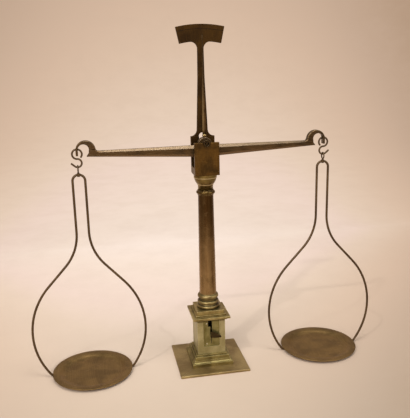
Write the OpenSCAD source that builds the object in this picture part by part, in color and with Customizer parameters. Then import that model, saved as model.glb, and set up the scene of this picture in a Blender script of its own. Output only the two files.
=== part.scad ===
// Column balance: square pedestal with a lift lever, turned column, fork head with a tall index
// plate, rigid beam with swan-neck ends, and two flat pans in pear-shaped wire loops.
// Millimetres. X runs along the beam, -Y is the front, +Z is up, and the origin is on the
// column's axis at the table.

/* [Base] */
// Width of the square base plate
base_w = 100; // [80:1:130]
// Thickness of the base plate
base_t = 3.2; // [2:0.2:6]
// Chamfer round the top of the base plate
base_chamfer = 0.8; // [0.2:0.1:1.5]
// Width of the plinth's lower slab
plinth_w = 59.6; // [56:0.5:72]
// Height of the plinth's lower slab
plinth_slab_h = 5; // [3:0.1:9]
// Radius of the hollow moulding above the slab
plinth_cove_r = 2.8; // [2:0.1:4.5]
// Height of the flat band above the hollow moulding
plinth_band_h = 0.8; // [0.8:0.1:3]
// Width of the plinth cap
cap_w = 49.6; // [46:0.2:54]
// Height of the plinth cap's wide step
cap_h = 4.7; // [2:0.1:7]
// Height of the narrow step under the die
cap_step_h = 2.5; // [1:0.1:3]

/* [Pedestal] */
// Width of the square die, the upright box of the pedestal
die_w = 40.4; // [38:0.2:44]
// Height of the die
die_h = 52; // [46:1:70]
// Wall of the die
die_wall = 4; // [3.6:0.1:5]
// Side of the solid corner posts inside the die
post_w = 7; // [6:0.5:7.5]
// Width of the sunken panel in the front
panel_w = 23.6; // [18:0.2:25]
// Height of the die's face left below the sunken panel
panel_sill_h = 11; // [6:0.2:12]
// Depth of the sunken panel
panel_depth = 1.4; // [0.8:0.1:2]
// Radius of the panel's lower corners
panel_corner_r = 2.2; // [1:0.1:4]
// Width that the slot plate is hidden on each side behind the die's face
plate_lap = 2; // [1:0.1:2.5]
// Width of the slot that the lever moves in
slot_w = 2.8; // [2.6:0.1:4]
// Width of the thin saw cut below the slot
slit_w = 1; // [0.6:0.1:1.4]
// Height of the slit's lower end above the panel's sill
slit_up = 4; // [2:0.2:8]
// Width of the side notch that holds the lever when it is up
notch_w = 3.2; // [2:0.1:5]

/* [Cornice] */
// Width of the cornice's projecting slab
corona_w = 54; // [52:0.5:64]
// Thickness of the projecting slab
corona_h = 3; // [2:0.1:5]
// Height of the mouldings under the slab
bed_h = 3; // [2:0.1:5]
// Projection of the flat fillet under the slab past the die
bed_out = 1.6; // [0.6:0.1:2.5]
// Width of the step above the slab
weather_w = 43.6; // [41:0.2:50]
// Height of the step above the slab
weather_h = 2.5; // [1.5:0.1:5]
// Width of the square block under the column
block_w = 39.6; // [36:0.2:41]
// Height of the square block under the column
block_h = 5.5; // [3:0.1:10]

/* [Column] */
// Largest radius of the lowest ring of the column's foot
foot_r = 16.2; // [15.5:0.1:18]
// Largest radius of the middle ring of the column's foot
foot_mid_r = 15.4; // [14.8:0.1:17]
// Largest radius of the upper ring of the column's foot
foot_top_r = 15.1; // [14.8:0.1:17]
// Radius of the neck under the upper ring
foot_neck_r = 12.2; // [11.5:0.1:12.3]
// Half height of the lowest ring
ring_low_r = 2.4; // [1.5:0.1:2.6]
// Half height of the middle ring
ring_mid_r = 2.4; // [1.5:0.1:2.6]
// Half height of the upper ring
ring_up_r = 3.2; // [1.5:0.1:3.3]
// Height of the groove between the lowest and the middle ring
groove_h = 1.8; // [1:0.1:4]
// Height of the neck between the middle and the upper ring
foot_neck_h = 2.7; // [1.5:0.1:8]
// Radius of the column at its lower end
shaft_r_low = 12.2; // [11.2:0.1:13]
// Radius of the column at its upper end
shaft_r_high = 10.7; // [10:0.1:11.2]
// Length of the column's tube
shaft_h = 145.6; // [80:1:220]
// Radius of the tube's bore
shaft_bore_r = 7.6; // [7:0.1:7.8]
// Largest radius of the ring near the top
astragal_r = 13.2; // [12.6:0.1:15]
// Half height of the ring near the top
astragal_tube_r = 2.5; // [1.5:0.1:3]
// Height of the plain neck under the capital
neck_h = 6.9; // [5:0.1:14]
// Radius of the plain neck under the capital
neck_r = 10.6; // [9.8:0.1:11]
// Radius of the capital's top
capital_r = 16; // [14:0.1:17]
// Height of the capital's round swelling
echinus_h = 9; // [6:0.1:14]
// Bulge of the swelling past a straight cone
echinus_bulge = 0.7; // [0.3:0.1:1.5]
// Height of the capital's top disc
abacus_h = 5.2; // [2:0.1:8]

/* [Lift] */
// Radius of the rod that carries the head inside the column
rod_r = 4; // [3.5:0.1:4.4]
// Radius of the rod's rounded foot
rod_foot_r = 3; // [2:0.1:3.4]
// Angle that the lever turns through
lever_swing = 25; // [15:1:26]
// Distance of the lever's pin from the column's axis
lever_arm = 13.2; // [11:0.1:13.2]
// Height of the pin above the die's lower end
pin_up = 36.9; // [36:0.1:37.5]
// Radius of the lever's pin
pin_r = 1.5; // [1:0.1:1.8]
// Half height of the lever's arm
lever_half_h = 2.5; // [2:0.1:2.8]
// Thickness of the lever
lever_t = 2; // [1.4:0.1:2.2]
// Length of the thumb piece along X
thumb_l = 15; // [10:0.5:18]
// Height of the thumb piece at its root
thumb_h = 8.8; // [6:0.2:9]
// Thickness of the thumb piece
thumb_t = 2.4; // [1.6:0.1:3.4]
// Distance of the thumb piece from the die's face
thumb_out = 1.8; // [1.6:0.1:4]

/* [Head] */
// Width of the fork head
head_w = 34; // [30:0.5:40]
// Depth of the fork head from front to back
head_d = 34.6; // [33:0.5:40]
// Height of the fork head's cheeks
head_h = 44.8; // [40:0.5:60]
// Thickness of each cheek
cheek_t = 5.8; // [4.5:0.1:7]
// Height of the solid base between the cheeks
fork_base_h = 9.8; // [9.5:0.1:14]
// Outer radius of the bearing rings
bearing_r = 4.8; // [4.4:0.1:6]
// Radius of the hole in the bearing rings
bearing_bore_r = 2.8; // [2.6:0.1:3.2]
// How far the front bearing stands out of the cheek
bearing_out = 1.2; // [0.5:0.1:2.5]
// Height of the knife edge above the column's capital
knife_up = 41; // [40:0.1:44]

/* [Index plate] */
// Height of the whole scale
total_h = 480; // [440:1:520]
// Thickness of the index plate's post and sector
index_t = 4.4; // [3:0.1:5.6]
// Height of the sector at the top
sector_h = 22.2; // [16:0.1:30]
// Half angle of the sector seen from the knife edge
sector_a = 12.1; // [8:0.1:15]
// Half width of the post at the sector
post_top = 4.2; // [3:0.1:6]
// Half width of the post above the shoulders
post_low = 7.5; // [6:0.1:8]
// Height of the shoulders above the cheeks
shoulder_up = 5.6; // [2:0.1:10]
// Radius of the hollow shoulders
shoulder_r = 9; // [6:0.1:9.4]
// Radius of the fillets under the sector
sector_fillet = 9; // [3:0.2:10]
// Width of the engraved lines
engrave_w = 0.7; // [0.4:0.1:1.2]
// Depth of the engraved lines
engrave_d = 0.4; // [0.2:0.1:0.8]
// Distance of the engraved arc from the sector's top edge
engrave_down = 5.8; // [3:0.2:10]

/* [Beam] */
// Distance from the knife edge to each hook
arm_l = 171.2; // [140:0.2:200]
// Height of the beam at its middle
beam_root_h = 16.6; // [12:0.2:20]
// Height of the beam at its ends
beam_tip_h = 7; // [6:0.1:9]
// Thickness of the beam at its middle
beam_root_t = 9; // [8:0.1:11]
// Thickness of the beam at its ends and of the swan necks
beam_tip_t = 7.6; // [7:0.1:8.4]
// Share of the beam's height that each bevelled edge takes
bevel_share = 0.25; // [0.15:0.01:0.3]
// Height of the bevelled edge against its depth
bevel_slope = 1.4; // [1.4:0.05:2.5]
// How far the beam's top lies below the knife edge at the middle
beam_drop = 0.8; // [0:0.1:3]
// How far the beam's top falls from the middle to the ends
beam_fall = 1.2; // [0:0.1:3]
// Radius of the round hub at the knife edge
hub_r = 9.5; // [8:0.1:10.5]
// Thickness of the hub
hub_t = 10; // [10:0.2:16]
// Outer radius of the swan necks
neck_out_r = 13.1; // [12.5:0.1:14]
// Inner radius of the swan necks
neck_in_r = 7.2; // [6.8:0.1:8.2]
// How far the neck's hollow is centred above its outer curve
neck_in_up = 1.2; // [0.4:0.1:1.6]
// Length of the pointed toe under the swan necks
toe_l = 3.6; // [2:0.1:4.5]
// Thickness of the swan neck at its tip
tip_t = 3; // [2.6:0.1:3.4]
// Length of the tip below the hook's seat
tip_l = 7.4; // [6:0.1:7.6]
// Radius of the throat of the hook's hole
hook_hole_r = 1.7; // [1.6:0.05:2]
// Widening of the hook's hole from its throat to each face
hook_flare = 1.1; // [0.9:0.05:1.4]
// Width of the knife
knife_w = 3; // [2.4:0.1:3.2]
// Height of the knife
knife_h = 4.2; // [3.8:0.1:4.4]

/* [Needle] */
// Width of the needle at its foot
needle_w = 5.6; // [4:0.1:7]
// Thickness of the needle at its foot
needle_t = 3; // [2:0.1:4]
// How far the needle's point reaches up into the sector
needle_into = 9; // [2:0.5:14]
// Share of its section that the needle keeps at its point
needle_tip_share = 0.2; // [0.1:0.05:0.5]
// Radius of the ball nut at the needle's foot
nut_ball_r = 2.9; // [2.4:0.1:3.6]
// Radius of the needle's stem in the hub
stem_r = 1.2; // [0.8:0.1:1.5]

/* [Hooks and eyes] */
// Radius of the hooks' wire
hook_wire_r = 1.25; // [1:0.05:1.35]
// Radius of the hook's upper loop
hook_loop_r = 6.4; // [6.2:0.1:7]
// Radius of the hook's lower loop
hook_low_r = 5.5; // [4.8:0.1:6.5]
// Angle from the level at which the upper loop's free end stops
hook_gap_a = 48; // [40:1:70]
// Angle past its lowest point at which the lower loop ends
hook_turn_a = 40; // [30:1:50]
// Length of the lower loop's straight tip
hook_tip_l = 6.5; // [4:0.1:8]
// Radius of the eyes' wire
eye_wire_r = 0.9; // [0.7:0.05:1.1]
// Radius of the eyes
eye_loop_r = 4.4; // [3.8:0.1:5]
// Length of the eye's neck above the loop's crown
eye_neck_l = 1.9; // [1.4:0.1:3]
// Thickness of the riveted head under the crown
rivet_t = 1; // [0.6:0.1:1.5]

/* [Wire loops] */
// Radius of the loops' wire
loop_wire_r = 1.65; // [1.4:0.05:1.7]
// Half width of the narrow part of the loop
loop_neck = 8.3; // [7.6:0.1:10]
// Radius of the bend where the legs spread
loop_spread_r = 71; // [50:1:90]
// Angle that the legs spread to
loop_spread_a = 42.5; // [38:0.5:46]
// Length of the straight run below that bend
loop_straight = 36.2; // [28:0.5:38]
// Radius of the loop's big round
loop_round_r = 104; // [98:0.5:110]
// Radius of the bend at the pan's edge
loop_foot_r = 4; // [3:0.1:5]
// Length of the foot soldered under the pan's rim
loop_foot_l = 4.6; // [3:0.2:8]
// Radius of the swivel boss in the loop's crown
boss_r = 2.7; // [2.3:0.1:3.2]

/* [Pans] */
// Radius of the pans
pan_r = 56.6; // [50:0.5:58]
// Thickness of the pans' sheet
pan_t = 1.2; // [0.8:0.1:2]
// Radius of the pans' flat middle
pan_flat_r = 38; // [20:1:44]
// Width of the pans' level rim
pan_rim_w = 6; // [4:0.5:8]

/* [Fastenings] */
// Radius of the pedestal's screws
screw_r = 1.5; // [1.2:0.1:1.8]
// Radius of the pedestal's screw heads
screw_head_r = 2.8; // [2.4:0.1:3]
// Radius of the column foot's threaded end
spigot_r = 6.4; // [6:0.1:6.8]
// Radius of the rivets' shanks
guide_rivet_r = 0.8; // [0.6:0.05:1]
// Radius of the rivets' heads
guide_rivet_head_r = 1.3; // [1.1:0.05:1.6]

/* [Fits] */
// Radial clearance of a turning or sliding fit
run_gap = 0.05; // [0.02:0.01:0.1]
// Radial clearance of a screw or pin that stays put
seat_gap = 0.02; // [0.01:0.01:0.05]
// How much thinner every second stretch of a bent wire is, so that it ends inside its neighbours
wire_snug = 0.01; // [0.01:0.01:0.03]

/* [Hidden] */
$fn = 64;
far = 400;
cut = 1;

brass = [0.52, 0.45, 0.27];
bronze = [0.40, 0.31, 0.17];
dark_bronze = [0.26, 0.19, 0.10];
steel = [0.45, 0.42, 0.38];

// Heights of the pedestal's layers
cove_z = base_t + plinth_slab_h;
band_z = cove_z + plinth_cove_r;
cap_z = band_z + plinth_band_h;
step_z = cap_z + cap_h;
die_z = step_z + cap_step_h;
cornice_z = die_z + die_h;
corona_z = cornice_z + bed_h;
weather_z = corona_z + corona_h;
block_z = weather_z + weather_h;
foot_z = block_z + block_h;
band_w = cap_w + 2.4;
step_w = die_w + 4.6;

// The die's hollow, its front plate and the lever
hollow = die_w / 2 - die_wall;
panel_y = -(die_w / 2 - panel_depth);
plate_w = panel_w + 2 * plate_lap;
sill_z = die_z + panel_sill_h;
post_c = hollow - post_w / 2 + 1.8;
pin_z = die_z + pin_up;
half_swing = lever_swing / 2;
lift = 2 * lever_arm * tan(half_swing);
lever_reach = lever_arm + die_w / 2;
lever_front_z = pin_z - lever_reach * tan(half_swing);
rod_foot_z = pin_z + (rod_foot_r + lever_half_h) / cos(half_swing) - lever_arm * tan(half_swing) + run_gap;
guide_x = -6.6;
guide_w = 3.6;
guide_t = 1.2;
rivet_zs = [sill_z + 3.9, sill_z + 35.6];

// Heights of the column's turned parts
fillet_h = 1;
ring_low_z = foot_z + ring_low_r;
ring_mid_z = ring_low_z + ring_low_r + groove_h + ring_mid_r;
ring_up_z = ring_mid_z + ring_mid_r + foot_neck_h + ring_up_r;
tube_z = ring_up_z + ring_up_r + fillet_h;
collar_z = tube_z + shaft_h;
astragal_z = collar_z + fillet_h + astragal_tube_r;
neck_z = astragal_z + astragal_tube_r + fillet_h;
echinus_z = neck_z + neck_h + fillet_h;
abacus_z = echinus_z + echinus_h;
head_z = abacus_z + abacus_h;
spigot_l = 8;
bush_r = rod_r + run_gap + 1.5;
nut_h = 3.5;
lip_h = 2.5;
nut_z = cornice_z - lip_h - nut_h;

// The head, the knife edge and the sector, which is centred on the knife edge
knife_z = head_z + knife_up;
cheek_y = head_d / 2 - cheek_t;
cheek_top = head_z + head_h;
fork_top = head_z + fork_base_h;
bearing_z = knife_z + bearing_bore_r - run_gap;
shoulder_z = cheek_top + shoulder_up;
post_z = shoulder_z + shoulder_r;
sector_out = total_h - knife_z;
sector_in = sector_out - sector_h;
window_r = bearing_r + 0.4;
window_z = bearing_z + 6.5;

// The beam, its swan necks and the needle
neck_z0 = knife_z - 0.7;
out_c = arm_l + tip_t / 2 - neck_out_r;
in_c = arm_l - tip_t / 2 - neck_in_r;
beam_top = knife_z - beam_drop;
tip_top = beam_top - beam_fall;
hole_z = knife_z + hook_hole_r - run_gap;
hub_top = knife_z + hub_r;
needle_z = hub_top + 2 * nut_ball_r - 1.6;
needle_l = knife_z + sector_in + needle_into - needle_z;

// One side's hook, eye, wire loop and pan, in the XZ plane with x = 0 at the hook's seat
hook_c = knife_z + hook_wire_r - hook_loop_r;
hook_low_c = hook_c - hook_loop_r - hook_low_r;
hook_low_z = hook_low_c - hook_low_r;
eye_c = hook_low_z + hook_wire_r + run_gap + eye_wire_r - eye_loop_r;
crown_top = eye_c - eye_loop_r - eye_neck_l;
// The rivet that closes the eye's shank under the crown, and the flat filed for it
rivet_r = eye_wire_r + 1;
rivet_room = 0.3;
crown_c = crown_top - loop_wire_r - loop_neck;
// The loop's path: the big round ends just outside the pan's rim, where the foot bends under it
foot_wire_z = loop_wire_r + 0.25;
spread_dx = loop_spread_r * (1 - cos(loop_spread_a)) + loop_straight * sin(loop_spread_a);
spread_dz = loop_spread_r * sin(loop_spread_a) + loop_straight * cos(loop_spread_a);
round_cx = loop_neck + spread_dx - loop_round_r * cos(loop_spread_a);
round_end_x = pan_r + foot_wire_z - round_cx;
round_end_a = acos(min(1, round_end_x / loop_round_r));
round_cz = foot_wire_z + loop_foot_r * (1 - sin(round_end_a)) + loop_round_r * sin(round_end_a);
leg_end_z = round_cz + loop_round_r * sin(loop_spread_a) + spread_dz;

// Square mouldings: the outline stands for every one of the four sides, so corners are mitred
module four_sided() {
    intersection() {
        rotate([90, 0, 0]) linear_extrude(far, center = true) children();
        rotate([90, 0, 90]) linear_extrude(far, center = true) children();
    }
}

module band(w, z, h) {
    translate([-w / 2, z]) square([w, h]);
}

module at_corners(d) {
    for (x = [-d, d], y = [-d, d]) translate([x, y, 0]) children();
}

// A countersunk screw along +Z with its head's flat face at z = 0
module screw(r, head_r, l) {
    cylinder(h = head_r - r, r1 = head_r, r2 = r);
    cylinder(h = l, r = r);
}

// The room that a countersunk screw needs
module screw_hole(r, head_r, l) {
    translate([0, 0, -cut]) cylinder(h = cut, r = head_r + seat_gap);
    screw(r + seat_gap, head_r + seat_gap, l);
}

module base_screw_set(l, hole = false) {
    at_corners(post_c) translate([0, 0, 0.4]) {
        if (hole) screw_hole(screw_r, screw_head_r, l);
        else screw(screw_r, screw_head_r, l);
    }
}

module cornice_screw_set(l, hole = false) {
    at_corners(post_c) translate([0, 0, block_z]) rotate([180, 0, 0]) {
        if (hole) screw_hole(screw_r, screw_head_r, l);
        else screw(screw_r, screw_head_r, l);
    }
}

base_screw_l = die_z + 12;
cornice_screw_l = block_z - cornice_z + 10;

module base_plate() {
    color(bronze) difference() {
        four_sided() polygon([[-base_w / 2, 0], [base_w / 2, 0], [base_w / 2, base_t - base_chamfer],
                              [base_w / 2 - base_chamfer, base_t], [base_chamfer - base_w / 2, base_t],
                              [-base_w / 2, base_t - base_chamfer]]);
        base_screw_set(base_screw_l, hole = true);
    }
}

module base_screws() {
    color(steel) base_screw_set(base_screw_l);
}

module plinth() {
    color(bronze) difference() {
        four_sided() {
            band(plinth_w, base_t, plinth_slab_h);
            difference() {
                band(band_w + 2 * plinth_cove_r, cove_z, plinth_cove_r);
                for (s = [-1, 1])
                    translate([s * (band_w / 2 + plinth_cove_r), band_z]) circle(plinth_cove_r);
            }
            band(band_w, band_z, plinth_band_h);
        }
        translate([-hollow + post_w, -hollow + post_w, base_t - cut])
            cube([2 * (hollow - post_w), 2 * (hollow - post_w), cap_z - base_t + 2 * cut]);
        base_screw_set(base_screw_l, hole = true);
    }
}

module plinth_cap() {
    color(bronze) difference() {
        four_sided() {
            band(cap_w, cap_z, cap_h);
            band(step_w, step_z, cap_step_h);
        }
        base_screw_set(base_screw_l, hole = true);
    }
}

module die_hollow_2d() {
    difference() {
        square(2 * hollow, center = true);
        for (x = [-1, 1], y = [-1, 1])
            translate([x * hollow, y * hollow]) square(2 * post_w, center = true);
    }
}

// The sunken panel's outline in X and Z, open at the top
module panel_2d(w, sill, r) {
    difference() {
        translate([-w / 2, sill]) square([w, cornice_z - sill]);
        for (s = [-1, 1]) difference() {
            translate([s * (w / 2 - r / 2), sill + r / 2]) square(r, center = true);
            translate([s * (w / 2 - r), sill + r]) circle(r);
        }
    }
}

// Extrudes an outline drawn in X and Z from the face y0 backwards by t
module upright(y0, t) {
    translate([0, y0 + t, 0]) rotate([90, 0, 0]) linear_extrude(t) children();
}

module pedestal_die() {
    color(brass) difference() {
        translate([-die_w / 2, -die_w / 2, die_z]) cube([die_w, die_w, die_h]);
        translate([0, 0, die_z - cut]) linear_extrude(die_h + 2 * cut) die_hollow_2d();
        upright(-die_w / 2 - cut, die_wall + cut) panel_2d(panel_w, sill_z, panel_corner_r);
        upright(panel_y, die_wall - panel_depth) translate([-plate_w / 2, sill_z - plate_lap])
            square([plate_w, cornice_z - sill_z + plate_lap]);
        translate([-hollow - die_wall / 2, lever_arm, pin_z]) rotate([0, 90, 0])
            cylinder(h = die_w, r = pin_r + seat_gap);
        base_screw_set(base_screw_l, hole = true);
        cornice_screw_set(cornice_screw_l, hole = true);
    }
}

module slot_2d() {
    slot_low = lever_front_z - thumb_h / 2 - 1.5;
    notch_z = pin_z + (lever_arm - panel_y) * tan(half_swing) - lever_half_h / cos(half_swing) - 0.3;
    translate([-slot_w / 2, slot_low]) square([slot_w, cornice_z - slot_low]);
    translate([-slit_w / 2, sill_z + slit_up]) square([slit_w, cornice_z - sill_z - slit_up]);
    translate([-slot_w / 2 - notch_w, notch_z]) square([notch_w + slot_w / 2, cornice_z - 1.5 - notch_z]);
}

module slot_plate() {
    color(brass) difference() {
        upright(panel_y, die_wall - panel_depth) difference() {
            translate([-plate_w / 2, sill_z - plate_lap])
                square([plate_w, cornice_z - sill_z + plate_lap]);
            slot_2d();
        }
        for (z = rivet_zs) translate([guide_x, 0, z]) rotate([90, 0, 0])
            cylinder(h = die_w, r = guide_rivet_r + seat_gap);
    }
}

module lever_guide() {
    guide_low = rivet_zs[0] - 3;
    guide_high = min(rivet_zs[1] + 3, cornice_z - lip_h - 0.3);
    color(bronze) difference() {
        upright(-hollow, guide_t) translate([guide_x - guide_w / 2, guide_low])
            square([guide_w, guide_high - guide_low]);
        for (z = rivet_zs) translate([guide_x, 0, z]) rotate([90, 0, 0])
            cylinder(h = die_w, r = guide_rivet_r + seat_gap);
    }
}

module guide_rivets() {
    head_h = 0.7;
    tail_h = 0.5;
    shank = die_wall - panel_depth + guide_t;
    color(brass) for (z = rivet_zs) translate([guide_x, panel_y - head_h, z]) rotate([-90, 0, 0]) {
        cylinder(h = head_h, r1 = guide_rivet_head_r - head_h / 2, r2 = guide_rivet_head_r);
        cylinder(h = head_h + shank + tail_h, r = guide_rivet_r);
        translate([0, 0, head_h + shank]) cylinder(h = tail_h, r = guide_rivet_head_r);
    }
}

module lever_pin() {
    color(steel) translate([-hollow - die_wall / 2 + 0.2, lever_arm, pin_z]) rotate([0, 90, 0])
        cylinder(h = hollow + die_wall / 2 + die_w / 2 - 0.2, r = pin_r);
}

// The thumb piece's outline in X and Z, with its root at the slot
module thumb_2d() {
    x0 = -lever_t / 2;
    polygon([[x0, 0], [x0, thumb_h], [x0 + thumb_l * 0.24, thumb_h * 0.96],
             [x0 + thumb_l * 0.6, thumb_h * 0.64], [x0 + thumb_l * 0.94, thumb_h * 0.22],
             [x0 + thumb_l, thumb_h * 0.06], [x0 + thumb_l * 0.93, -thumb_h * 0.08],
             [x0 + thumb_l * 0.4, -thumb_h * 0.06]]);
}

module lift_lever() {
    hub = min(lever_half_h + 0.3, hollow - lever_arm - 0.1);
    thumb_y = -die_w / 2 - thumb_out - thumb_t;
    color(dark_bronze) difference() {
        union() {
            translate([-lever_t / 2, lever_arm, pin_z]) rotate([0, 90, 0])
                cylinder(h = lever_t, r = hub);
            translate([0, lever_arm, pin_z]) rotate([half_swing, 0, 0])
                translate([-lever_t / 2, -(lever_reach + thumb_out + thumb_t / 2) / cos(half_swing), -lever_half_h])
                    cube([lever_t, (lever_reach + thumb_out + thumb_t / 2) / cos(half_swing), 2 * lever_half_h]);
            translate([0, 0, lever_front_z - thumb_h / 2 + 1]) upright(thumb_y, thumb_t) thumb_2d();
        }
        translate([-lever_t, lever_arm, pin_z]) rotate([0, 90, 0])
            cylinder(h = 2 * lever_t, r = pin_r + run_gap);
    }
}

module cornice() {
    bed_w = die_w + 2 * bed_out;
    ovolo_r = bed_h / 2;
    color(brass) difference() {
        union() {
            four_sided() {
                band(bed_w, cornice_z, bed_h);
                for (s = [-1, 1]) translate([s * bed_w / 2, cornice_z + bed_h / 2]) circle(ovolo_r);
                band(corona_w, corona_z, corona_h);
                band(weather_w, weather_z, weather_h);
            }
            translate([0, 0, cornice_z - lip_h]) linear_extrude(lip_h + cut) lip_2d();
        }
        translate([0, 0, cornice_z - lip_h - cut])
            cylinder(h = block_z - cornice_z + lip_h + 2 * cut, r = spigot_r + seat_gap);
        cornice_screw_set(cornice_screw_l, hole = true);
    }
}

// The lip under the cornice that sits inside the die between its posts, clear of the lever
module lip_2d() {
    lip = hollow - post_w - seat_gap;
    square([2 * lip, 2 * (hollow - 3)], center = true);
}

module cornice_screws() {
    color(steel) cornice_screw_set(cornice_screw_l);
}

module column_block() {
    color(brass) difference() {
        four_sided() band(block_w, block_z, block_h);
        translate([0, 0, block_z - cut]) cylinder(h = block_h + 2 * cut, r = spigot_r + seat_gap);
    }
}

// Half of a ring moulding's section: a flat band of radius r - tube with a half round outside
module ring_2d(r, z, tube) {
    translate([0, z - tube]) square([r - tube, 2 * tube]);
    translate([r - tube, z]) circle(tube);
}

module disc_2d(r, z, h) {
    translate([0, z]) square([r, h]);
}

module column_foot() {
    color(bronze) rotate_extrude() difference() {
        union() {
            ring_2d(foot_r, ring_low_z, ring_low_r);
            disc_2d(foot_neck_r + 1.2, ring_low_z, ring_mid_z - ring_low_z);
            ring_2d(foot_mid_r, ring_mid_z, ring_mid_r);
            disc_2d(foot_neck_r, ring_mid_z, ring_up_z - ring_mid_z);
            ring_2d(foot_top_r, ring_up_z, ring_up_r);
            disc_2d(shaft_r_low + 0.8, ring_up_z + ring_up_r, fillet_h);
            disc_2d(shaft_bore_r - seat_gap, tube_z - cut, spigot_l + cut);
            disc_2d(spigot_r, nut_z - 0.5, foot_z - nut_z + 0.5 + cut);
        }
        disc_2d(rod_r + 0.4, nut_z - 2 * cut, tube_z + spigot_l);
        disc_2d(bush_r, tube_z - 12, 12 + spigot_l + cut);
    }
}

module column_nut() {
    color(steel) translate([0, 0, nut_z]) difference() {
        cylinder(h = nut_h, r = spigot_r + 3, $fn = 6);
        translate([0, 0, -cut]) cylinder(h = nut_h + 2 * cut, r = spigot_r + seat_gap);
    }
}

module bush(z, h) {
    color(brass) translate([0, 0, z]) rotate_extrude() difference() {
        disc_2d(bush_r - seat_gap, 0, h);
        disc_2d(rod_r + run_gap, -cut, h + 2 * cut);
    }
}

module lower_bush() {
    bush(tube_z - 12, 12 + spigot_l);
}

module column_tube() {
    color(bronze) difference() {
        translate([0, 0, tube_z]) cylinder(h = shaft_h, r1 = shaft_r_low, r2 = shaft_r_high);
        translate([0, 0, tube_z - cut]) cylinder(h = shaft_h + 2 * cut, r = shaft_bore_r);
    }
}

module neck_ring() {
    color(bronze) rotate_extrude() difference() {
        union() {
            disc_2d(shaft_r_high + 0.8, collar_z, fillet_h);
            ring_2d(astragal_r, astragal_z, astragal_tube_r);
            disc_2d(neck_r + 0.9, astragal_z + astragal_tube_r, fillet_h);
        }
        disc_2d(shaft_bore_r, collar_z - cut, neck_z - collar_z + 2 * cut);
    }
}

module capital() {
    lip_r = neck_r + 0.8;
    top_r = capital_r - 0.4;
    slant = norm([top_r - lip_r, echinus_h]);
    curve_r = (slant * slant / 4 + echinus_bulge * echinus_bulge) / (2 * echinus_bulge);
    back = (curve_r - echinus_bulge) / slant;
    color(bronze) rotate_extrude() difference() {
        union() {
            disc_2d(shaft_bore_r - seat_gap, collar_z - spigot_l, neck_z - collar_z + spigot_l + cut);
            disc_2d(neck_r, neck_z, neck_h);
            disc_2d(lip_r, neck_z + neck_h, fillet_h);
            intersection() {
                disc_2d(capital_r, echinus_z, echinus_h);
                translate([(lip_r + top_r) / 2 - echinus_h * back, (echinus_z + abacus_z) / 2 + (top_r - lip_r) * back])
                    circle(curve_r, $fn = 360);
            }
            disc_2d(lip_r, echinus_z, echinus_h);
            disc_2d(capital_r, abacus_z, abacus_h);
        }
        disc_2d(bush_r, collar_z - spigot_l - cut, head_z);
    }
}

module upper_bush() {
    bush(collar_z - spigot_l, head_z - collar_z + spigot_l - 0.5);
}

module lift_rod() {
    rod_top = fork_top - 2.5;
    color(steel) difference() {
        union() {
            translate([0, 0, rod_foot_z]) sphere(rod_foot_r);
            translate([0, 0, rod_foot_z]) cylinder(h = 2, r = rod_foot_r);
            translate([0, 0, rod_foot_z + 2]) cylinder(h = rod_top - rod_foot_z - 2, r = rod_r);
        }
        translate([0, 0, fork_top]) rotate([180, 0, 0]) screw_hole(screw_r, screw_head_r, 14);
    }
}

module head_screw() {
    color(steel) translate([0, 0, fork_top]) rotate([180, 0, 0]) screw(screw_r, screw_head_r, 14);
}

module cheek_screw_set(hole = false) {
    for (s = [-1, 1]) translate([s * 10, head_d / 2, head_z + fork_base_h / 2]) rotate([90, 0, 0]) {
        if (hole) screw_hole(screw_r, screw_head_r, head_d - 2.5);
        else screw(screw_r, screw_head_r, head_d - 2.5);
    }
}

module fork_base() {
    color(dark_bronze) difference() {
        upright(-cheek_y, 2 * cheek_y) band(head_w, head_z, fork_base_h);
        cheek_screw_set(hole = true);
        translate([0, 0, head_z - cut]) cylinder(h = fork_base_h - 2.5 + cut, r = rod_r + seat_gap);
        translate([0, 0, fork_top]) rotate([180, 0, 0]) screw_hole(screw_r, screw_head_r, 14);
    }
}

module front_cheek() {
    color(dark_bronze) difference() {
        upright(-head_d / 2, cheek_t) difference() {
            band(head_w, head_z, head_h);
            translate([0, bearing_z]) circle(bearing_r + seat_gap);
        }
        cheek_screw_set(hole = true);
    }
}

module sector_2d() {
    intersection() {
        difference() {
            translate([0, knife_z]) circle(sector_out, $fn = 360);
            translate([0, knife_z]) circle(sector_in, $fn = 360);
        }
        polygon([[0, knife_z], [-far * tan(sector_a), knife_z + far], [far * tan(sector_a), knife_z + far]]);
    }
}

// Half of the fillet between the post and the sector, tangent to both
module sector_fillet_2d() {
    cx = post_top + sector_fillet;
    reach = sector_in - sector_fillet;
    cz = knife_z + sqrt(reach * reach - cx * cx);
    difference() {
        translate([0, cz]) square([cx * sector_in / reach, knife_z + sector_in - cz]);
        translate([cx, cz]) circle(sector_fillet);
    }
}

module index_outline_2d() {
    waist_z = post_z + (knife_z + sector_in - post_z) * 0.22;
    mid_z = post_z + (knife_z + sector_in - post_z) * 0.6;
    difference() {
        translate([-head_w / 2 + 0.4, shoulder_z - cut]) square([head_w - 0.8, shoulder_r + cut]);
        for (s = [-1, 1]) translate([s * (post_low + shoulder_r), post_z]) circle(shoulder_r);
        for (s = [-1, 1]) translate([s * (post_low + shoulder_r) - (s < 0 ? far : 0), shoulder_z])
            square([far, far]);
    }
    polygon([[-post_low, post_z - cut], [post_low, post_z - cut], [post_low, post_z],
             [post_low - 1, waist_z], [post_top + 0.5, mid_z], [post_top, knife_z + sector_in + 2],
             [-post_top, knife_z + sector_in + 2], [-post_top - 0.5, mid_z], [1 - post_low, waist_z],
             [-post_low, post_z]]);
    sector_2d();
    sector_fillet_2d();
    mirror([1, 0]) sector_fillet_2d();
}

// The tall opening behind the hub: the bearing's seat below and a round arch above
module window_2d() {
    translate([0, bearing_z]) circle(bearing_r + seat_gap);
    translate([-bearing_r, bearing_z]) square([2 * bearing_r, window_z - bearing_z]);
    translate([0, window_z]) circle(window_r);
}

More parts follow.
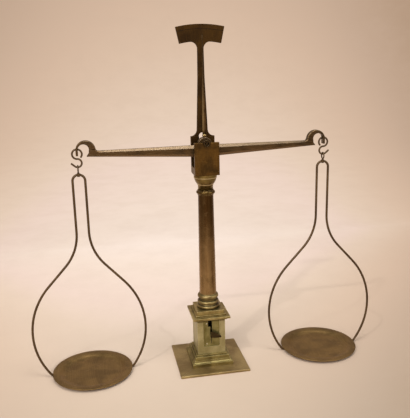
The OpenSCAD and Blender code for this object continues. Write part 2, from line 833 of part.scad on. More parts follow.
module index_plate() {
    back = head_d / 2;
    color(dark_bronze) difference() {
        union() {
            upright(cheek_y, cheek_t) band(head_w - 0.8, head_z, shoulder_z - head_z);
            upright(back - index_t, index_t) index_outline_2d();
        }
        upright(cheek_y - cut, cheek_t + 2 * cut) window_2d();
        upright(back - index_t - cut, engrave_d + cut) engraving_2d();
        cheek_screw_set(hole = true);
    }
}

// The engraved arc below the sector's top edge, and the mark that the needle points to
module engraving_2d() {
    line_out = sector_out - engrave_down;
    intersection() {
        difference() {
            translate([0, knife_z]) circle(line_out, $fn = 360);
            translate([0, knife_z]) circle(line_out - engrave_w, $fn = 360);
        }
        polygon([[0, knife_z], [-far * tan(sector_a - 0.8), knife_z + far],
                 [far * tan(sector_a - 0.8), knife_z + far]]);
    }
    translate([-engrave_w / 2, knife_z + line_out - 4]) square([engrave_w, 4]);
}

module cheek_screws() {
    color(steel) cheek_screw_set();
}

module bearing(y0, t) {
    color(steel) upright(y0, t) translate([0, bearing_z]) difference() {
        circle(bearing_r);
        circle(bearing_bore_r);
    }
}

module front_bearing() {
    bearing(-head_d / 2 - bearing_out, cheek_t + bearing_out);
}

module back_bearing() {
    bearing(cheek_y, cheek_t);
}

// The knife's section: an edge below, sides at 30 degrees, and an upright body
module knife_2d(grow = 0) {
    rise = knife_w / 2 / tan(30);
    translate([0, knife_z]) polygon([[0, -grow], [knife_w / 2 + grow, rise], [knife_w / 2 + grow, knife_h + grow],
                                     [-knife_w / 2 - grow, knife_h + grow], [-knife_w / 2 - grow, rise]]);
}

module knife_edge() {
    color(steel) upright(-head_d / 2 - bearing_out / 2, head_d + bearing_out / 2 - 0.4) knife_2d();
}

// One cross-section of the beam: flat sides with a bevel along the top and the bottom
module beam_slab(x, top, h, t) {
    b = h * bevel_share;
    translate([x, 0, 0]) rotate([90, 0, 90]) linear_extrude(0.01)
        polygon([[-t / 2 + b / bevel_slope, top], [t / 2 - b / bevel_slope, top], [t / 2, top - b],
                 [t / 2, top - h + b], [t / 2 - b / bevel_slope, top - h],
                 [-t / 2 + b / bevel_slope, top - h], [-t / 2, top - h + b], [-t / 2, top - b]]);
}

module beam_arm() {
    hull() {
        beam_slab(0, beam_top, beam_root_h, beam_root_t);
        beam_slab(in_c - neck_in_r - 0.5, tip_top, beam_tip_h, beam_tip_t);
    }
}

// The swan neck's outline: a crescent that thins towards a straight tip
module swan_neck_2d() {
    in_x = in_c - neck_in_r;
    difference() {
        union() {
            intersection() {
                translate([out_c, neck_z0]) circle(neck_out_r);
                translate([out_c - neck_out_r - cut, neck_z0]) square([2 * neck_out_r + 2 * cut, far]);
            }
            polygon([[out_c - neck_out_r, tip_top - beam_tip_h], [in_x + toe_l, tip_top - beam_tip_h],
                     [in_x + 0.4, tip_top - beam_tip_h + 4.4], [in_x + 0.4, neck_z0], [out_c - neck_out_r, neck_z0]]);
        }
        translate([in_c, neck_z0 + neck_in_up]) circle(neck_in_r);
        translate([in_c, knife_z - tip_l]) square([neck_in_r, neck_z0 + neck_in_up - knife_z + tip_l]);
    }
    translate([arm_l - tip_t / 2, knife_z - tip_l]) square([tip_t, neck_z0 - knife_z + tip_l]);
}

// The hook's hole runs along X and opens to both faces from a thin throat
module hook_hole() {
    half = tip_t / 2 + 1;
    flare = hook_flare * half / (tip_t / 2);
    translate([arm_l, 0, hole_z]) rotate([0, 90, 0]) {
        cylinder(h = half, r1 = hook_hole_r, r2 = hook_hole_r + flare);
        rotate([180, 0, 0]) cylinder(h = half, r1 = hook_hole_r, r2 = hook_hole_r + flare);
    }
}

module half_beam() {
    beam_arm();
    difference() {
        upright(-beam_tip_t / 2, beam_tip_t) swan_neck_2d();
        hook_hole();
    }
}

module beam() {
    color(dark_bronze) difference() {
        union() {
            half_beam();
            mirror([1, 0, 0]) half_beam();
            upright(-hub_t / 2, hub_t) translate([0, knife_z]) circle(hub_r);
        }
        upright(-hub_t, 2 * hub_t) knife_2d();
        translate([0, 0, knife_z + knife_h + 0.4]) cylinder(h = hub_r, r = stem_r + seat_gap);
    }
}

module needle() {
    color(bronze) {
        translate([0, 0, knife_z + knife_h + 0.6])
            cylinder(h = needle_z - knife_z - knife_h - 0.6, r = stem_r);
        translate([0, 0, needle_z]) linear_extrude(needle_l, scale = needle_tip_share)
            polygon([[-needle_w / 2, 0], [0, -needle_t / 2], [needle_w / 2, 0], [0, needle_t / 2]]);
    }
}

module needle_nut() {
    low = hub_top;
    color(brass) difference() {
        translate([0, 0, low + nut_ball_r - 0.8]) sphere(nut_ball_r);
        translate([-nut_ball_r, -nut_ball_r, low - 2 * nut_ball_r]) cube(2 * nut_ball_r);
        translate([-nut_ball_r, -nut_ball_r, needle_z]) cube(2 * nut_ball_r);
        translate([0, 0, low - cut]) cylinder(h = 4 * nut_ball_r, r = stem_r + seat_gap);
    }
}

// A round wire bent to radius big in the XZ plane, from angle a0 to a1 measured from +X to +Z
module wire_arc(x, z, big, r, a0, a1) {
    translate([x, 0, z]) rotate([90, 0, 0]) rotate([0, 0, a0])
        rotate_extrude(angle = a1 - a0) translate([big, 0]) circle(r, $fn = 32);
}

// A straight round wire in the XZ plane, of length l along the angle a from +X to +Z
module wire_run(x, z, a, l, r) {
    translate([x, 0, z]) rotate([0, 90 - a, 0]) cylinder(h = l, r = r, $fn = 32);
}

// An S of wire: a nearly closed upper loop through the beam's tip, and an open lower hook. The
// lower bend is a hair thinner and reaches a little way into its neighbours.
module hook() {
    lap = 2;
    end_a = 270 + hook_turn_a;
    color(dark_bronze) {
        wire_arc(0, hook_c, hook_loop_r, hook_wire_r, -90, 180 + hook_gap_a);
        wire_arc(0, hook_low_c, hook_low_r, hook_wire_r - wire_snug, 90 - lap, end_a + lap);
        wire_run(hook_low_r * cos(end_a), hook_low_c + hook_low_r * sin(end_a), end_a + 90,
                 hook_tip_l, hook_wire_r);
    }
}

// A round eye of thin wire, whose riveted shank turns in the loop's crown
module eye() {
    color(dark_bronze) {
        translate([0, 0, eye_c]) rotate([0, 90, 0]) rotate_extrude()
            translate([eye_loop_r, 0]) circle(eye_wire_r, $fn = 32);
        translate([0, 0, crown_top - 2 * loop_wire_r - run_gap])
            cylinder(h = 2 * loop_wire_r + run_gap + eye_neck_l, r = eye_wire_r);
        translate([0, 0, crown_top + run_gap]) cylinder(h = eye_neck_l - 0.6, r = eye_wire_r + 0.6);
        translate([0, 0, crown_top - 2 * loop_wire_r - run_gap - rivet_t])
            cylinder(h = rivet_t, r = rivet_r);
    }
}

// One leg of the pear-shaped wire, from the crown to its foot under the pan's rim. The straight
// stretches and the foot's bend are a hair thinner and reach a little way into their neighbours.
module loop_leg() {
    r = loop_wire_r;
    thin = loop_wire_r - wire_snug;
    lap = 0.3;
    a = loop_spread_a;
    run_x = loop_neck + loop_spread_r * (1 - cos(a));
    run_z = leg_end_z - loop_spread_r * sin(a);
    end_x = round_cx + loop_round_r * cos(round_end_a);
    end_z = round_cz - loop_round_r * sin(round_end_a);
    foot_cx = end_x - loop_foot_r * cos(round_end_a);
    foot_cz = foot_wire_z + loop_foot_r;
    foot_lap = 2;
    wire_run(loop_neck, crown_c + lap, -90, crown_c - leg_end_z + 2 * lap, thin);
    wire_arc(loop_neck + loop_spread_r, leg_end_z, loop_spread_r, r, 180, 180 + a);
    wire_run(run_x - lap * sin(a), run_z + lap * cos(a), a - 90, loop_straight + 2 * lap, thin);
    wire_arc(round_cx, round_cz, loop_round_r, r, -round_end_a, a);
    wire_arc(foot_cx, foot_cz, loop_foot_r, thin, -90 - foot_lap, -round_end_a + foot_lap);
    wire_run(foot_cx, foot_wire_z, 180, loop_foot_l, r);
}

module loop() {
    color(dark_bronze) difference() {
        union() {
            wire_arc(0, crown_c, loop_neck, loop_wire_r, 0, 180);
            loop_leg();
            mirror([1, 0, 0]) loop_leg();
            translate([0, 0, crown_top - 2 * loop_wire_r]) cylinder(h = 2 * loop_wire_r, r = boss_r);
        }
        translate([0, 0, crown_top - 4 * loop_wire_r])
            cylinder(h = 8 * loop_wire_r, r = eye_wire_r + run_gap);
        translate([0, 0, crown_top - 2 * loop_wire_r - 2 * rivet_t])
            cylinder(h = 2 * rivet_t, r = rivet_r + rivet_room);
    }
}

// Half of the pan's section: a flat middle, a double curve that rises, and a level rounded rim
module pan() {
    rim_r = pan_r - pan_rim_w;
    rise = 2 * loop_wire_r + 0.25;
    run = (rim_r - pan_flat_r) / 2;
    curve_r = (run * run + rise * rise / 4) / rise;
    sweep = asin(run / curve_r);
    steps = 6;
    low = [for (i = [0:steps]) let (t = i * sweep / steps)
           [pan_flat_r + curve_r * sin(t), curve_r * (1 - cos(t))]];
    high = [for (i = [steps - 1:-1:0]) let (t = i * sweep / steps)
            [rim_r - curve_r * sin(t), rise - curve_r * (1 - cos(t))]];
    top = [for (p = [for (q = high) q, for (q = low) q]) p];
    color(bronze) rotate_extrude($fn = 96) {
        polygon(concat([[0, 0]], low, high, [[pan_r - pan_t / 2, rise], [pan_r - pan_t / 2, rise + pan_t]],
                       [for (i = [len(high) - 1:-1:0]) high[i] + [0, pan_t]],
                       [for (i = [len(low) - 1:-1:0]) low[i] + [0, pan_t]], [[0, pan_t]]));
        translate([pan_r - pan_t / 2, rise + pan_t / 2]) circle(pan_t / 2);
    }
}

module at_left() {
    translate([-arm_l, 0, 0]) children();
}

module at_right() {
    translate([arm_l, 0, 0]) children();
}

module left_hook() { at_left() mirror([1, 0, 0]) hook(); }
module right_hook() { at_right() hook(); }
module left_eye() { at_left() eye(); }
module right_eye() { at_right() eye(); }
module left_loop() { at_left() loop(); }
module right_loop() { at_right() loop(); }
module left_pan() { at_left() pan(); }
module right_pan() { at_right() pan(); }

base_plate();
base_screws();
plinth();
plinth_cap();
pedestal_die();
slot_plate();
lever_guide();
guide_rivets();
lever_pin();
lift_lever();
cornice();
cornice_screws();
column_block();
column_foot();
column_nut();
lower_bush();
column_tube();
neck_ring();
capital();
upper_bush();
lift_rod();
fork_base();
front_cheek();
index_plate();
cheek_screws();
head_screw();
front_bearing();
back_bearing();
beam();
knife_edge();
needle();
needle_nut();
left_hook();
right_hook();
left_eye();
right_eye();
left_loop();
right_loop();
left_pan();
right_pan();
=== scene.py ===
"""A column balance in worn bronze and brass: surfaces, finishes, floor, light and camera.

Lengths in the shapes are millimetres, and every mesh is written in metres. X runs along the beam,
Y to the back and Z up. Profiles and outlines run anticlockwise, so that faces point outwards. A
profile's corner is (distance from the axis, height, radius of its easing).
"""
import bmesh
import bpy
import numpy as np
from mathutils import Matrix, Vector
from mathutils.geometry import tessellate_polygon


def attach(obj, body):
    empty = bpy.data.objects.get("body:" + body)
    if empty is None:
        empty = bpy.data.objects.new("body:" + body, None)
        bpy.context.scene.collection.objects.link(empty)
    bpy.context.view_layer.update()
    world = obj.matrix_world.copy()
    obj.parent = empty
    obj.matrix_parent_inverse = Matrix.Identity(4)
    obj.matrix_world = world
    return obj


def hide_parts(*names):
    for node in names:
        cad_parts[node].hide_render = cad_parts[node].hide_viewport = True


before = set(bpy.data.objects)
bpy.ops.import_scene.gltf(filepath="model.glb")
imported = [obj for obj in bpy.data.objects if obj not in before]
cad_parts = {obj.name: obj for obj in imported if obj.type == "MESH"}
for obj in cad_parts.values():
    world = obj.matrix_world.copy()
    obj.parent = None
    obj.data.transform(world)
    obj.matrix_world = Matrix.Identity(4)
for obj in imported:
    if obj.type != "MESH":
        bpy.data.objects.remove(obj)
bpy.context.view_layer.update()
MM = 0.001

# Heights at which the solids meet, from the table up, and those of the knife's edge and of the
# bearings' middle
BASE_TOP, PLINTH_TOP, CAP_TOP = 3.2, 11.8, 19
CORNICE_LOW, CORNICE_TOP, BLOCK_TOP, FOOT_TOP = 71, 79.5, 85, 106.5
SHAFT_TOP, NECK_TOP, CAPITAL_TOP = 252.1, 259.1, 281.2
KNIFE_Z, BEARING_Z = 322.2, 324.95

# Radii of the hole through cornice and block, of the column's bore, of the tenons that stand in it,
# and of the hollow that the lift rod runs in
TENON_HOLE, COLUMN_BORE, TENON, ROD_WAY = 6.42, 7.6, 7.58, 5.55

# The fork: how far its cheeks' inner and outer faces lie from the middle, the radii of the bearing
# rings and of their seats, the arch over the seat in the back, and the back cheek's top
CHEEK_IN, CHEEK_OUT = 11.5, 17.3
BEARING_R, SEAT_R, BACK_SEAT_R = 4.8, 4.82, 4.86
ARCH_Z, ARCH_R, BACK_ARCH_R = 331.45, 5.2, 5.24
BACK_CHEEK_TOP = 331.6

# Distance from the beam's middle to each hook's seat
ARM = 171.2


# ---------------------------------------------------------------- points and faces

def grid_faces(rows, cols, ring_rows=False):
    """Four-sided faces between neighbours of a grid of rings; a ring of rows closes on itself too."""
    r = np.arange(rows if ring_rows else rows - 1)
    r, c = np.meshgrid(r, np.arange(cols), indexing="ij")
    r_next, c_next = (r + 1) % rows, (c + 1) % cols
    quads = [r * cols + c, r * cols + c_next, r_next * cols + c_next, r_next * cols + c]
    return np.stack(quads, axis=-1).reshape(-1, 4)


def closed_tube(points, ring_rows):
    """Rows of ring points become a shell: a ring of rows, or two ends closed by a fan to a pole."""
    rows, cols = points.shape[:2]
    flat = points.reshape(-1, 3)
    faces = [grid_faces(rows, cols, ring_rows)]
    if not ring_rows:
        c = np.arange(cols)
        c_next = (c + 1) % cols
        last = (rows - 1) * cols
        first_pole, last_pole = len(flat), len(flat) + 1
        flat = np.vstack([flat, points[0].mean(0), points[-1].mean(0)])
        faces.append(np.stack([np.full(cols, first_pole), c_next, c], axis=-1))
        faces.append(np.stack([last + c, last + c_next, np.full(cols, last_pole)], axis=-1))
    return flat, faces


def new_mesh(name, shells):
    """Writes shells, each its points and its lists of faces, into one smooth mesh in metres."""
    points = np.vstack([p for p, _ in shells])
    starts = np.cumsum([0] + [len(p) for p, _ in shells])
    lists = [np.asarray(f) + s for (_, faces), s in zip(shells, starts) for f in faces]
    sizes = np.concatenate([np.full(len(f), f.shape[1]) for f in lists])
    corners = np.concatenate([f.ravel() for f in lists])
    mesh = bpy.data.meshes.new(name)
    mesh.vertices.add(len(points))
    mesh.vertices.foreach_set("co", (points * MM).astype(np.float32).ravel())
    mesh.loops.add(len(corners))
    mesh.loops.foreach_set("vertex_index", corners.astype(np.int32))
    mesh.polygons.add(len(sizes))
    mesh.polygons.foreach_set("loop_start", (np.cumsum(sizes) - sizes).astype(np.int32))
    mesh.update(calc_edges=True)
    mesh.validate()
    mesh.shade_smooth()
    return mesh


def unit(v):
    """Vectors brought to length one."""
    return v / np.maximum(np.linalg.norm(v, axis=-1, keepdims=True), 1e-12)


def eased(corners, radius, steps=4, hold=0.12):
    """Rounds all corners of closed outlines, held as an array (..., corners, 2).

    Each corner becomes an arc of the given radius that touches both of its sides, with one more
    point on each side just beyond the arc, which keeps the flat between two arcs flat in shading.
    """
    p = np.asarray(corners, float)
    a, b = np.roll(p, 1, -2) - p, np.roll(p, -1, -2) - p
    la, lb = (np.linalg.norm(v, axis=-1, keepdims=True) for v in (a, b))
    a, b = a / la, b / lb
    half = np.arccos(np.clip((a * b).sum(-1, keepdims=True), -1, 1)) / 2
    reach = np.minimum(np.asarray(radius) / np.tan(half), 0.42 * np.minimum(la, lb))
    centre = p + unit(a + b) * reach / np.cos(half)
    start, end = p + a * reach - centre, p + b * reach - centre
    sweep = np.pi - 2 * half
    w = np.linspace(0, 1, steps + 1)
    bend = (centre[..., None, :]
            + (np.sin((1 - w) * sweep) / np.sin(sweep))[..., None] * start[..., None, :]
            + (np.sin(w * sweep) / np.sin(sweep))[..., None] * end[..., None, :])
    before = p + a * np.minimum(reach + hold, 0.48 * la)
    after = p + b * np.minimum(reach + hold, 0.48 * lb)
    rows = np.concatenate([before[..., None, :], bend, after[..., None, :]], axis=-2)
    return rows.reshape(*p.shape[:-2], -1, 2)


def arc(u, v, r, a0, a1, steps=12):
    """Points on a circle about (u, v) from angle a0 to a1 in degrees."""
    a = np.radians(np.linspace(a0, a1, steps + 1))
    return np.stack([u + r * np.cos(a), v + r * np.sin(a)], axis=-1)


def profile(*parts, steps=4, closed=False):
    """Strings corners (u, v, radius) and runs of curve points into one line, easing the corners."""
    runs = [np.atleast_2d(np.asarray(q, float)[..., :2]) for q in parts]
    out = []
    for i, part in enumerate(parts):
        radius = part[2] if isinstance(part, tuple) and len(part) == 3 else 0
        ends = not closed and i in (0, len(parts) - 1)
        if not radius or ends:
            out.append(runs[i])
            continue
        before, after = runs[i - 1][-1], runs[(i + 1) % len(parts)][0]
        three = eased(np.array([before, runs[i][0], after]), radius, steps)
        out.append(three.reshape(3, -1, 2)[1])
    return np.vstack(out)


def to_axis(*parts):
    """A profile from the axis round to the axis, less those two points: the shell's poles are there."""
    return profile(*parts)[1:-1]


# ---------------------------------------------------------------- families of shapes

def turned(line, around=96, axis="z", centre=(0, 0, 0), ring=False):
    """Lathe work: point (i, j) is at radius r_i and height z_i, turned j steps round the axis."""
    r, h = np.asarray(line, float).T
    a = np.arange(around) * 2 * np.pi / around
    u, v = r[:, None] * np.cos(a), r[:, None] * np.sin(a)
    h = np.broadcast_to(h[:, None], u.shape)
    xyz = {"z": (u, v, h), "y": (v, h, u), "x": (h, u, v)}[axis]
    return closed_tube(np.stack(xyz, axis=-1) + np.asarray(centre, float), ring)


def mitred(line, corner=0.5, ring=False):
    """Square moulding: point (i, j) is the rounded square of half width d_i at height z_i.

    Each corner is an arc of a fixed small radius, so a ring is d_i times the corner's signs plus a
    part that doesn't depend on d_i. One more point on each side just beyond the arc keeps the flat
    flat in shading. A row too narrow for its corners closes to a tiny square.
    """
    hold, tiny = 0.25, 0.02
    d, h = np.asarray(line, float).T
    q = np.radians(np.linspace(0, 90, 5))
    outer = np.stack([np.cos(q), np.sin(q)], -1) - 1
    outer = np.vstack([outer[:1], outer, outer[-1:]]) * corner
    outer[0] += [0, -hold]
    outer[-1] += [-hold, 0]
    quarters = np.arange(4) * np.pi / 2
    turn = [np.array([[np.cos(t), np.sin(t)], [-np.sin(t), np.cos(t)]]) for t in quarters]
    signs = np.vstack([np.ones((len(outer), 2)) @ m for m in turn])
    extra = np.vstack([outer @ m for m in turn])
    plan = d[:, None, None] * signs + extra
    plan = np.where(d[:, None, None] > corner + hold, plan, tiny * signs)
    return closed_tube(np.dstack([plan, np.broadcast_to(h[:, None], plan.shape[:2])]), ring)


def wire(path, r):
    """Round wire: a circle of radius r carried square to a path in the XZ plane.

    At both ends the radius falls off by a quarter circle over the length `ease`.
    """
    ease, apart = 0.45, 1e-6
    s = np.concatenate([[0], np.cumsum(np.linalg.norm(np.diff(path, axis=0), axis=1))])
    keep = np.concatenate([[True], np.diff(s) > apart])
    path, s = path[keep], s[keep]
    q = np.linspace(0, np.pi / 2, 5)
    near, less = ease * (1 - np.cos(q)), ease * (1 - np.sin(q))
    inside = s[(s > ease * 1.05) & (s < s[-1] - ease * 1.05)]
    at = np.concatenate([near, inside, s[-1] - near[::-1]])
    radius = r - np.concatenate([less, np.zeros(len(inside)), less[::-1]])
    slope = np.gradient(path, s, axis=0)
    spot = np.stack([np.interp(at, s, path[:, k]) for k in (0, 1)], -1)
    ahead = unit(np.stack([np.interp(at, s, slope[:, k]) for k in (0, 1)], -1))
    return carried(spot, ahead, radius, 24, "xz", False)


def carried(spot, ahead, radius, around, plane, ring):
    """Circles about the stations of a path: centre + radius (cos b * side + sin b * across)."""
    b = np.arange(around) * 2 * np.pi / around
    side = np.stack([ahead[:, 1], -ahead[:, 0]], -1)
    in_plane = spot[:, None, :] + (radius[:, None] * np.cos(b))[..., None] * side[:, None, :]
    out_of = radius[:, None] * np.sin(b)
    first, up = in_plane[..., 0], in_plane[..., 1]
    xyz = (first, out_of, up) if plane == "xz" else (-out_of, first, up)
    return closed_tube(np.stack(xyz, -1), ring)


def wire_ring(radius, r, z):
    """A closed ring in the YZ plane: a circle of radius r carried round one of the given radius."""
    steps = 72
    a = np.arange(steps) * 2 * np.pi / steps
    spot = np.stack([radius * np.cos(a), z + radius * np.sin(a)], -1)
    ahead = np.stack([-np.sin(a), np.cos(a)], -1)
    return carried(spot, ahead, np.full(steps, r), 20, "yz", True)


def plate(outline, y0, y1, ease=0.35, holes=(), hold=0.15):
    """Flat plate: an outline in X and Z from y0 to y1, all of its rims eased by a quarter circle.

    Each ring is the outline moved inwards by e and set at depth y; the flat faces are filled in.
    """
    q = np.linspace(0, np.pi / 2, 4)
    inner = [ease + hold]
    inwards = np.concatenate([inner, ease * (1 - np.sin(q)), ease * (1 - np.sin(q[::-1])), inner])
    less = ease * (1 - np.cos(q))
    depth = np.concatenate([[y1], y1 - less, y0 + less[::-1], [y0]])
    points, faces, caps, start = [], [], [], 0
    for line in [np.asarray(outline, float)] + [np.asarray(h, float)[::-1] for h in holes]:
        before, after = unit(line - np.roll(line, 1, 0)), unit(np.roll(line, -1, 0) - line)
        normal = unit(np.stack([-(before + after)[:, 1], (before + after)[:, 0]], -1))
        side = np.stack([-after[:, 1], after[:, 0]], -1)
        spread = np.maximum((normal * side).sum(-1, keepdims=True), 0.5)
        rings = line[None] + inwards[:, None, None] * (normal / spread)[None]
        y = np.broadcast_to(depth[:, None], rings.shape[:2])
        points.append(np.stack([rings[..., 0], y, rings[..., 1]], -1).reshape(-1, 3))
        faces.append(grid_faces(len(depth), len(line)) + start)
        caps.append((start, start + (len(depth) - 1) * len(line), len(line), rings[0]))
        start += len(points[-1])
    tris = np.array(tessellate_polygon([[Vector((x, z, 0)) for x, z in c[3]] for c in caps]))
    flat = np.vstack([c[3] for c in caps])
    u = flat[tris[:, 1]] - flat[tris[:, 0]]
    v = flat[tris[:, 2]] - flat[tris[:, 0]]
    left = u[:, 0] * v[:, 1] - u[:, 1] * v[:, 0]
    tris = np.where(left[:, None] > 0, tris, tris[:, ::-1])[np.abs(left) > 1e-9]
    back = np.concatenate([c[0] + np.arange(c[2]) for c in caps])
    front = np.concatenate([c[1] + np.arange(c[2]) for c in caps])
    return np.vstack(points), faces + [back[tris][:, ::-1], front[tris]]


def ladder(upper, lower, thick, bevel):
    """A bar on rungs: at each station a bevelled section stands on the rung from one rail to the
    other, with its width across given by `thick`, its bevel's height by `bevel`, and the bevel's
    depth that height over its slope."""
    slope = 1.4
    h = np.linalg.norm(upper - lower, axis=1)
    half, b = thick / 2, bevel
    c = b / slope
    zero = np.zeros_like(h)
    y = np.stack([c - half, half - c, half, half, half - c, c - half, -half, -half], -1)
    w = np.stack([zero, zero, b, h - b, h, h, h - b, b], -1)
    section = eased(np.stack([y, w], -1), 0.3, steps=3, hold=0.1)
    rung = unit(upper - lower)
    xz = lower[:, None, :] + section[..., 1:2] * rung[:, None, :]
    return closed_tube(np.stack([xz[..., 0], section[..., 0], xz[..., 1]], -1), False)


def moved(shell, shift=(0, 0, 0), mirror=False):
    """A shell moved by a shift; a mirrored one changes the sign of X and turns its faces round."""
    points, faces = shell
    if mirror:
        points = points * [-1, 1, 1]
        faces = [f[:, ::-1] for f in faces]
    return points + np.asarray(shift, float), faces


# ---------------------------------------------------------------- pieces

def piece(node, shells, body, finish):
    """Makes one solid's skin at the origin, gives it its finish, and says what it stands for."""
    name = node + "_skin"
    mesh = shells if isinstance(shells, bpy.types.Mesh) else new_mesh(name, shells)
    obj = bpy.data.objects.new(name, mesh)
    bpy.context.scene.collection.objects.link(obj)
    mesh.materials.clear()
    mesh.materials.append(FINISH[finish])
    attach(obj, body)
    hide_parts(node)
    return obj


def cut_out(mesh, cutter):
    """Takes one closed shape out of another, as a drill does."""
    blank, drill = (bpy.data.objects.new(n, m) for n, m in (("blank", mesh), ("drill", cutter)))
    for o in (blank, drill):
        bpy.context.scene.collection.objects.link(o)
    cut = blank.modifiers.new("cut", "BOOLEAN")
    cut.operation, cut.solver, cut.object = "DIFFERENCE", "EXACT", drill
    settled = blank.evaluated_get(bpy.context.evaluated_depsgraph_get())
    done = bpy.data.meshes.new_from_object(settled)
    for o in (blank, drill):
        bpy.data.objects.remove(o)
    done.name = mesh.name
    done.shade_smooth()
    done.set_sharp_from_angle(angle=np.radians(32))
    return done


def eased_copy(node, body, finish, width):
    """A cut metal block: a merged copy of the solid with its sharp edges rounded off."""
    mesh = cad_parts[node].data.copy()
    mesh.name = node + "_skin"
    bm = bmesh.new()
    bm.from_mesh(mesh)
    bmesh.ops.remove_doubles(bm, verts=bm.verts, dist=2e-6)
    bmesh.ops.dissolve_limit(bm, angle_limit=np.radians(0.6), verts=bm.verts, edges=bm.edges)
    bm.to_mesh(mesh)
    bm.free()
    shading = ("custom_normal", "sharp_face", "sharp_edge")
    for attribute in [a.name for a in mesh.attributes if a.name in shading]:
        mesh.attributes.remove(mesh.attributes[attribute])
    mesh.shade_smooth()
    obj = piece(node, mesh, body, finish)
    ease = obj.modifiers.new("eased edges", "BEVEL")
    ease.width, ease.segments = width * MM, 3
    ease.limit_method, ease.angle_limit = "ANGLE", np.radians(30)
    ease.harden_normals = True
    ease.miter_outer = "MITER_ARC"


# ---------------------------------------------------------------- shader helpers

def tone(r, g, b):
    """A colour written as its 0 to 255 screen values, as the linear colour that a shader takes."""
    c = np.array([r, g, b]) / 255
    return tuple(np.where(c <= 0.04045, c / 12.92, ((c + 0.055) / 1.055) ** 2.4)) + (1.0,)


def feed(tree, socket, value):
    """Links a socket to the output given for it, or sets its value."""
    if isinstance(value, bpy.types.NodeSocket):
        tree.links.new(value, socket)
    else:
        socket.default_value = value


def place(tree, kind, sockets=None, **settings):
    """Adds one shader node, with its settings, and feeds its sockets with values or links."""
    n = tree.nodes.new("ShaderNode" + kind)
    for key, value in settings.items():
        setattr(n, key, value)
    for key, value in (sockets or {}).items():
        feed(tree, n.inputs[key], value)
    return n


def calc(tree, operation, a, b=0.0, c=0.0, clamp=False):
    """One step of arithmetic on values."""
    steps = {0: a, 1: b, 2: c}
    return place(tree, "Math", steps, operation=operation, use_clamp=clamp).outputs[0]


def times(tree, a, b, clamp=False):
    """The product of two values."""
    return calc(tree, "MULTIPLY", a, b, clamp=clamp)


def combined(tree, operation, a, b, result=0):
    """One step of arithmetic on two vectors or colours."""
    return place(tree, "VectorMath", {0: a, 1: b}, operation=operation).outputs[result]


def length_of(tree, x, y):
    """How far a spot lies from the axis, from its two coordinates square to it."""
    flat = place(tree, "CombineXYZ", {"X": x, "Y": y}).outputs[0]
    return place(tree, "VectorMath", {0: flat}, operation="LENGTH").outputs["Value"]


def ramped(tree, value, low, high):
    """Stretches values between low and high to 0 and 1; low may be the greater of the two."""
    return place(tree, "MapRange", {"Value": value, "From Min": low, "From Max": high}).outputs["Result"]


def spread_out(tree, value, low, high):
    """Stretches values between low and high to 0 and 1, with soft ends."""
    return place(tree, "MapRange", {"Value": value, "From Min": low, "From Max": high},
                 interpolation_type="SMOOTHSTEP").outputs["Result"]


def noise(tree, vector, scale, detail, roughness=0.5, **settings):
    """Smooth noise round 0.5 over a vector."""
    sockets = {"Vector": vector, "Scale": scale, "Detail": detail, "Roughness": roughness}
    return place(tree, "TexNoise", sockets, **settings).outputs["Fac"]


def spot_on(tree):
    """The place in the object's own space, in metres."""
    return place(tree, "TexCoord").outputs["Object"]


def parts_of(tree, vector):
    """A vector's X, Y and Z."""
    return place(tree, "SeparateXYZ", {0: vector}).outputs


def effect(name, inputs, outputs):
    """A new shader node group; returns it with its input sockets and output sockets."""
    tree = bpy.data.node_groups.new(name, "ShaderNodeTree")
    for key, value in inputs.items():
        kind = "NodeSocketVector" if isinstance(value, tuple) else "NodeSocketFloat"
        tree.interface.new_socket(key, in_out="INPUT", socket_type=kind).default_value = value
    for key in outputs:
        tree.interface.new_socket(key, in_out="OUTPUT", socket_type="NodeSocketFloat")
    return tree, tree.nodes.new("NodeGroupInput").outputs, tree.nodes.new("NodeGroupOutput").inputs


def use(tree, which, **sockets):
    """Places one of the shared effects in a material."""
    n = tree.nodes.new("ShaderNodeGroup")
    n.node_tree = EFFECTS[which]
    for key, value in sockets.items():
        feed(tree, n.inputs[key], value)
    return n.outputs


def mix(tree, factor, a, b):
    """Mixes two colours by a mask."""
    n = tree.nodes.new("ShaderNodeMix")
    n.data_type, n.clamp_factor = "RGBA", True
    factor_socket, a_socket, b_socket, colour_out = 0, 6, 7, 2
    for socket, value in ((factor_socket, factor), (a_socket, a), (b_socket, b)):
        feed(tree, n.inputs[socket], value)
    return n.outputs[colour_out]


def tinted(tree, colour, mask, share, other):
    """A colour moved towards another, by a share of a mask."""
    return mix(tree, times(tree, mask, share), colour, tone(*other))


def new_material(name):
    """An empty node material, and its tree."""
    m = bpy.data.materials.new(name)
    m.use_nodes = True
    m.node_tree.nodes.clear()
    return m, m.node_tree


# ---------------------------------------------------------------- shared effects

def make_patina():
    """Large clouds and small flecks of a skin that age has given the metal."""
    tree, given, out = effect("patina", {"Size": 0.02}, ["Clouds", "Flecks"])
    where = spot_on(tree)
    scale = calc(tree, "DIVIDE", 1.0, given["Size"])
    cloud = place(tree, "TexNoise", {"Vector": where, "Scale": scale, "Detail": 3.0, "Roughness": 0.55,
                                     "Distortion": 0.4}).outputs["Fac"]
    feed(tree, out["Clouds"], spread_out(tree, cloud, 0.34, 0.66))
    fine = noise(tree, where, times(tree, scale, 11.0), 4.0, 0.7)
    feed(tree, out["Flecks"], spread_out(tree, fine, 0.42, 0.72))
    return tree


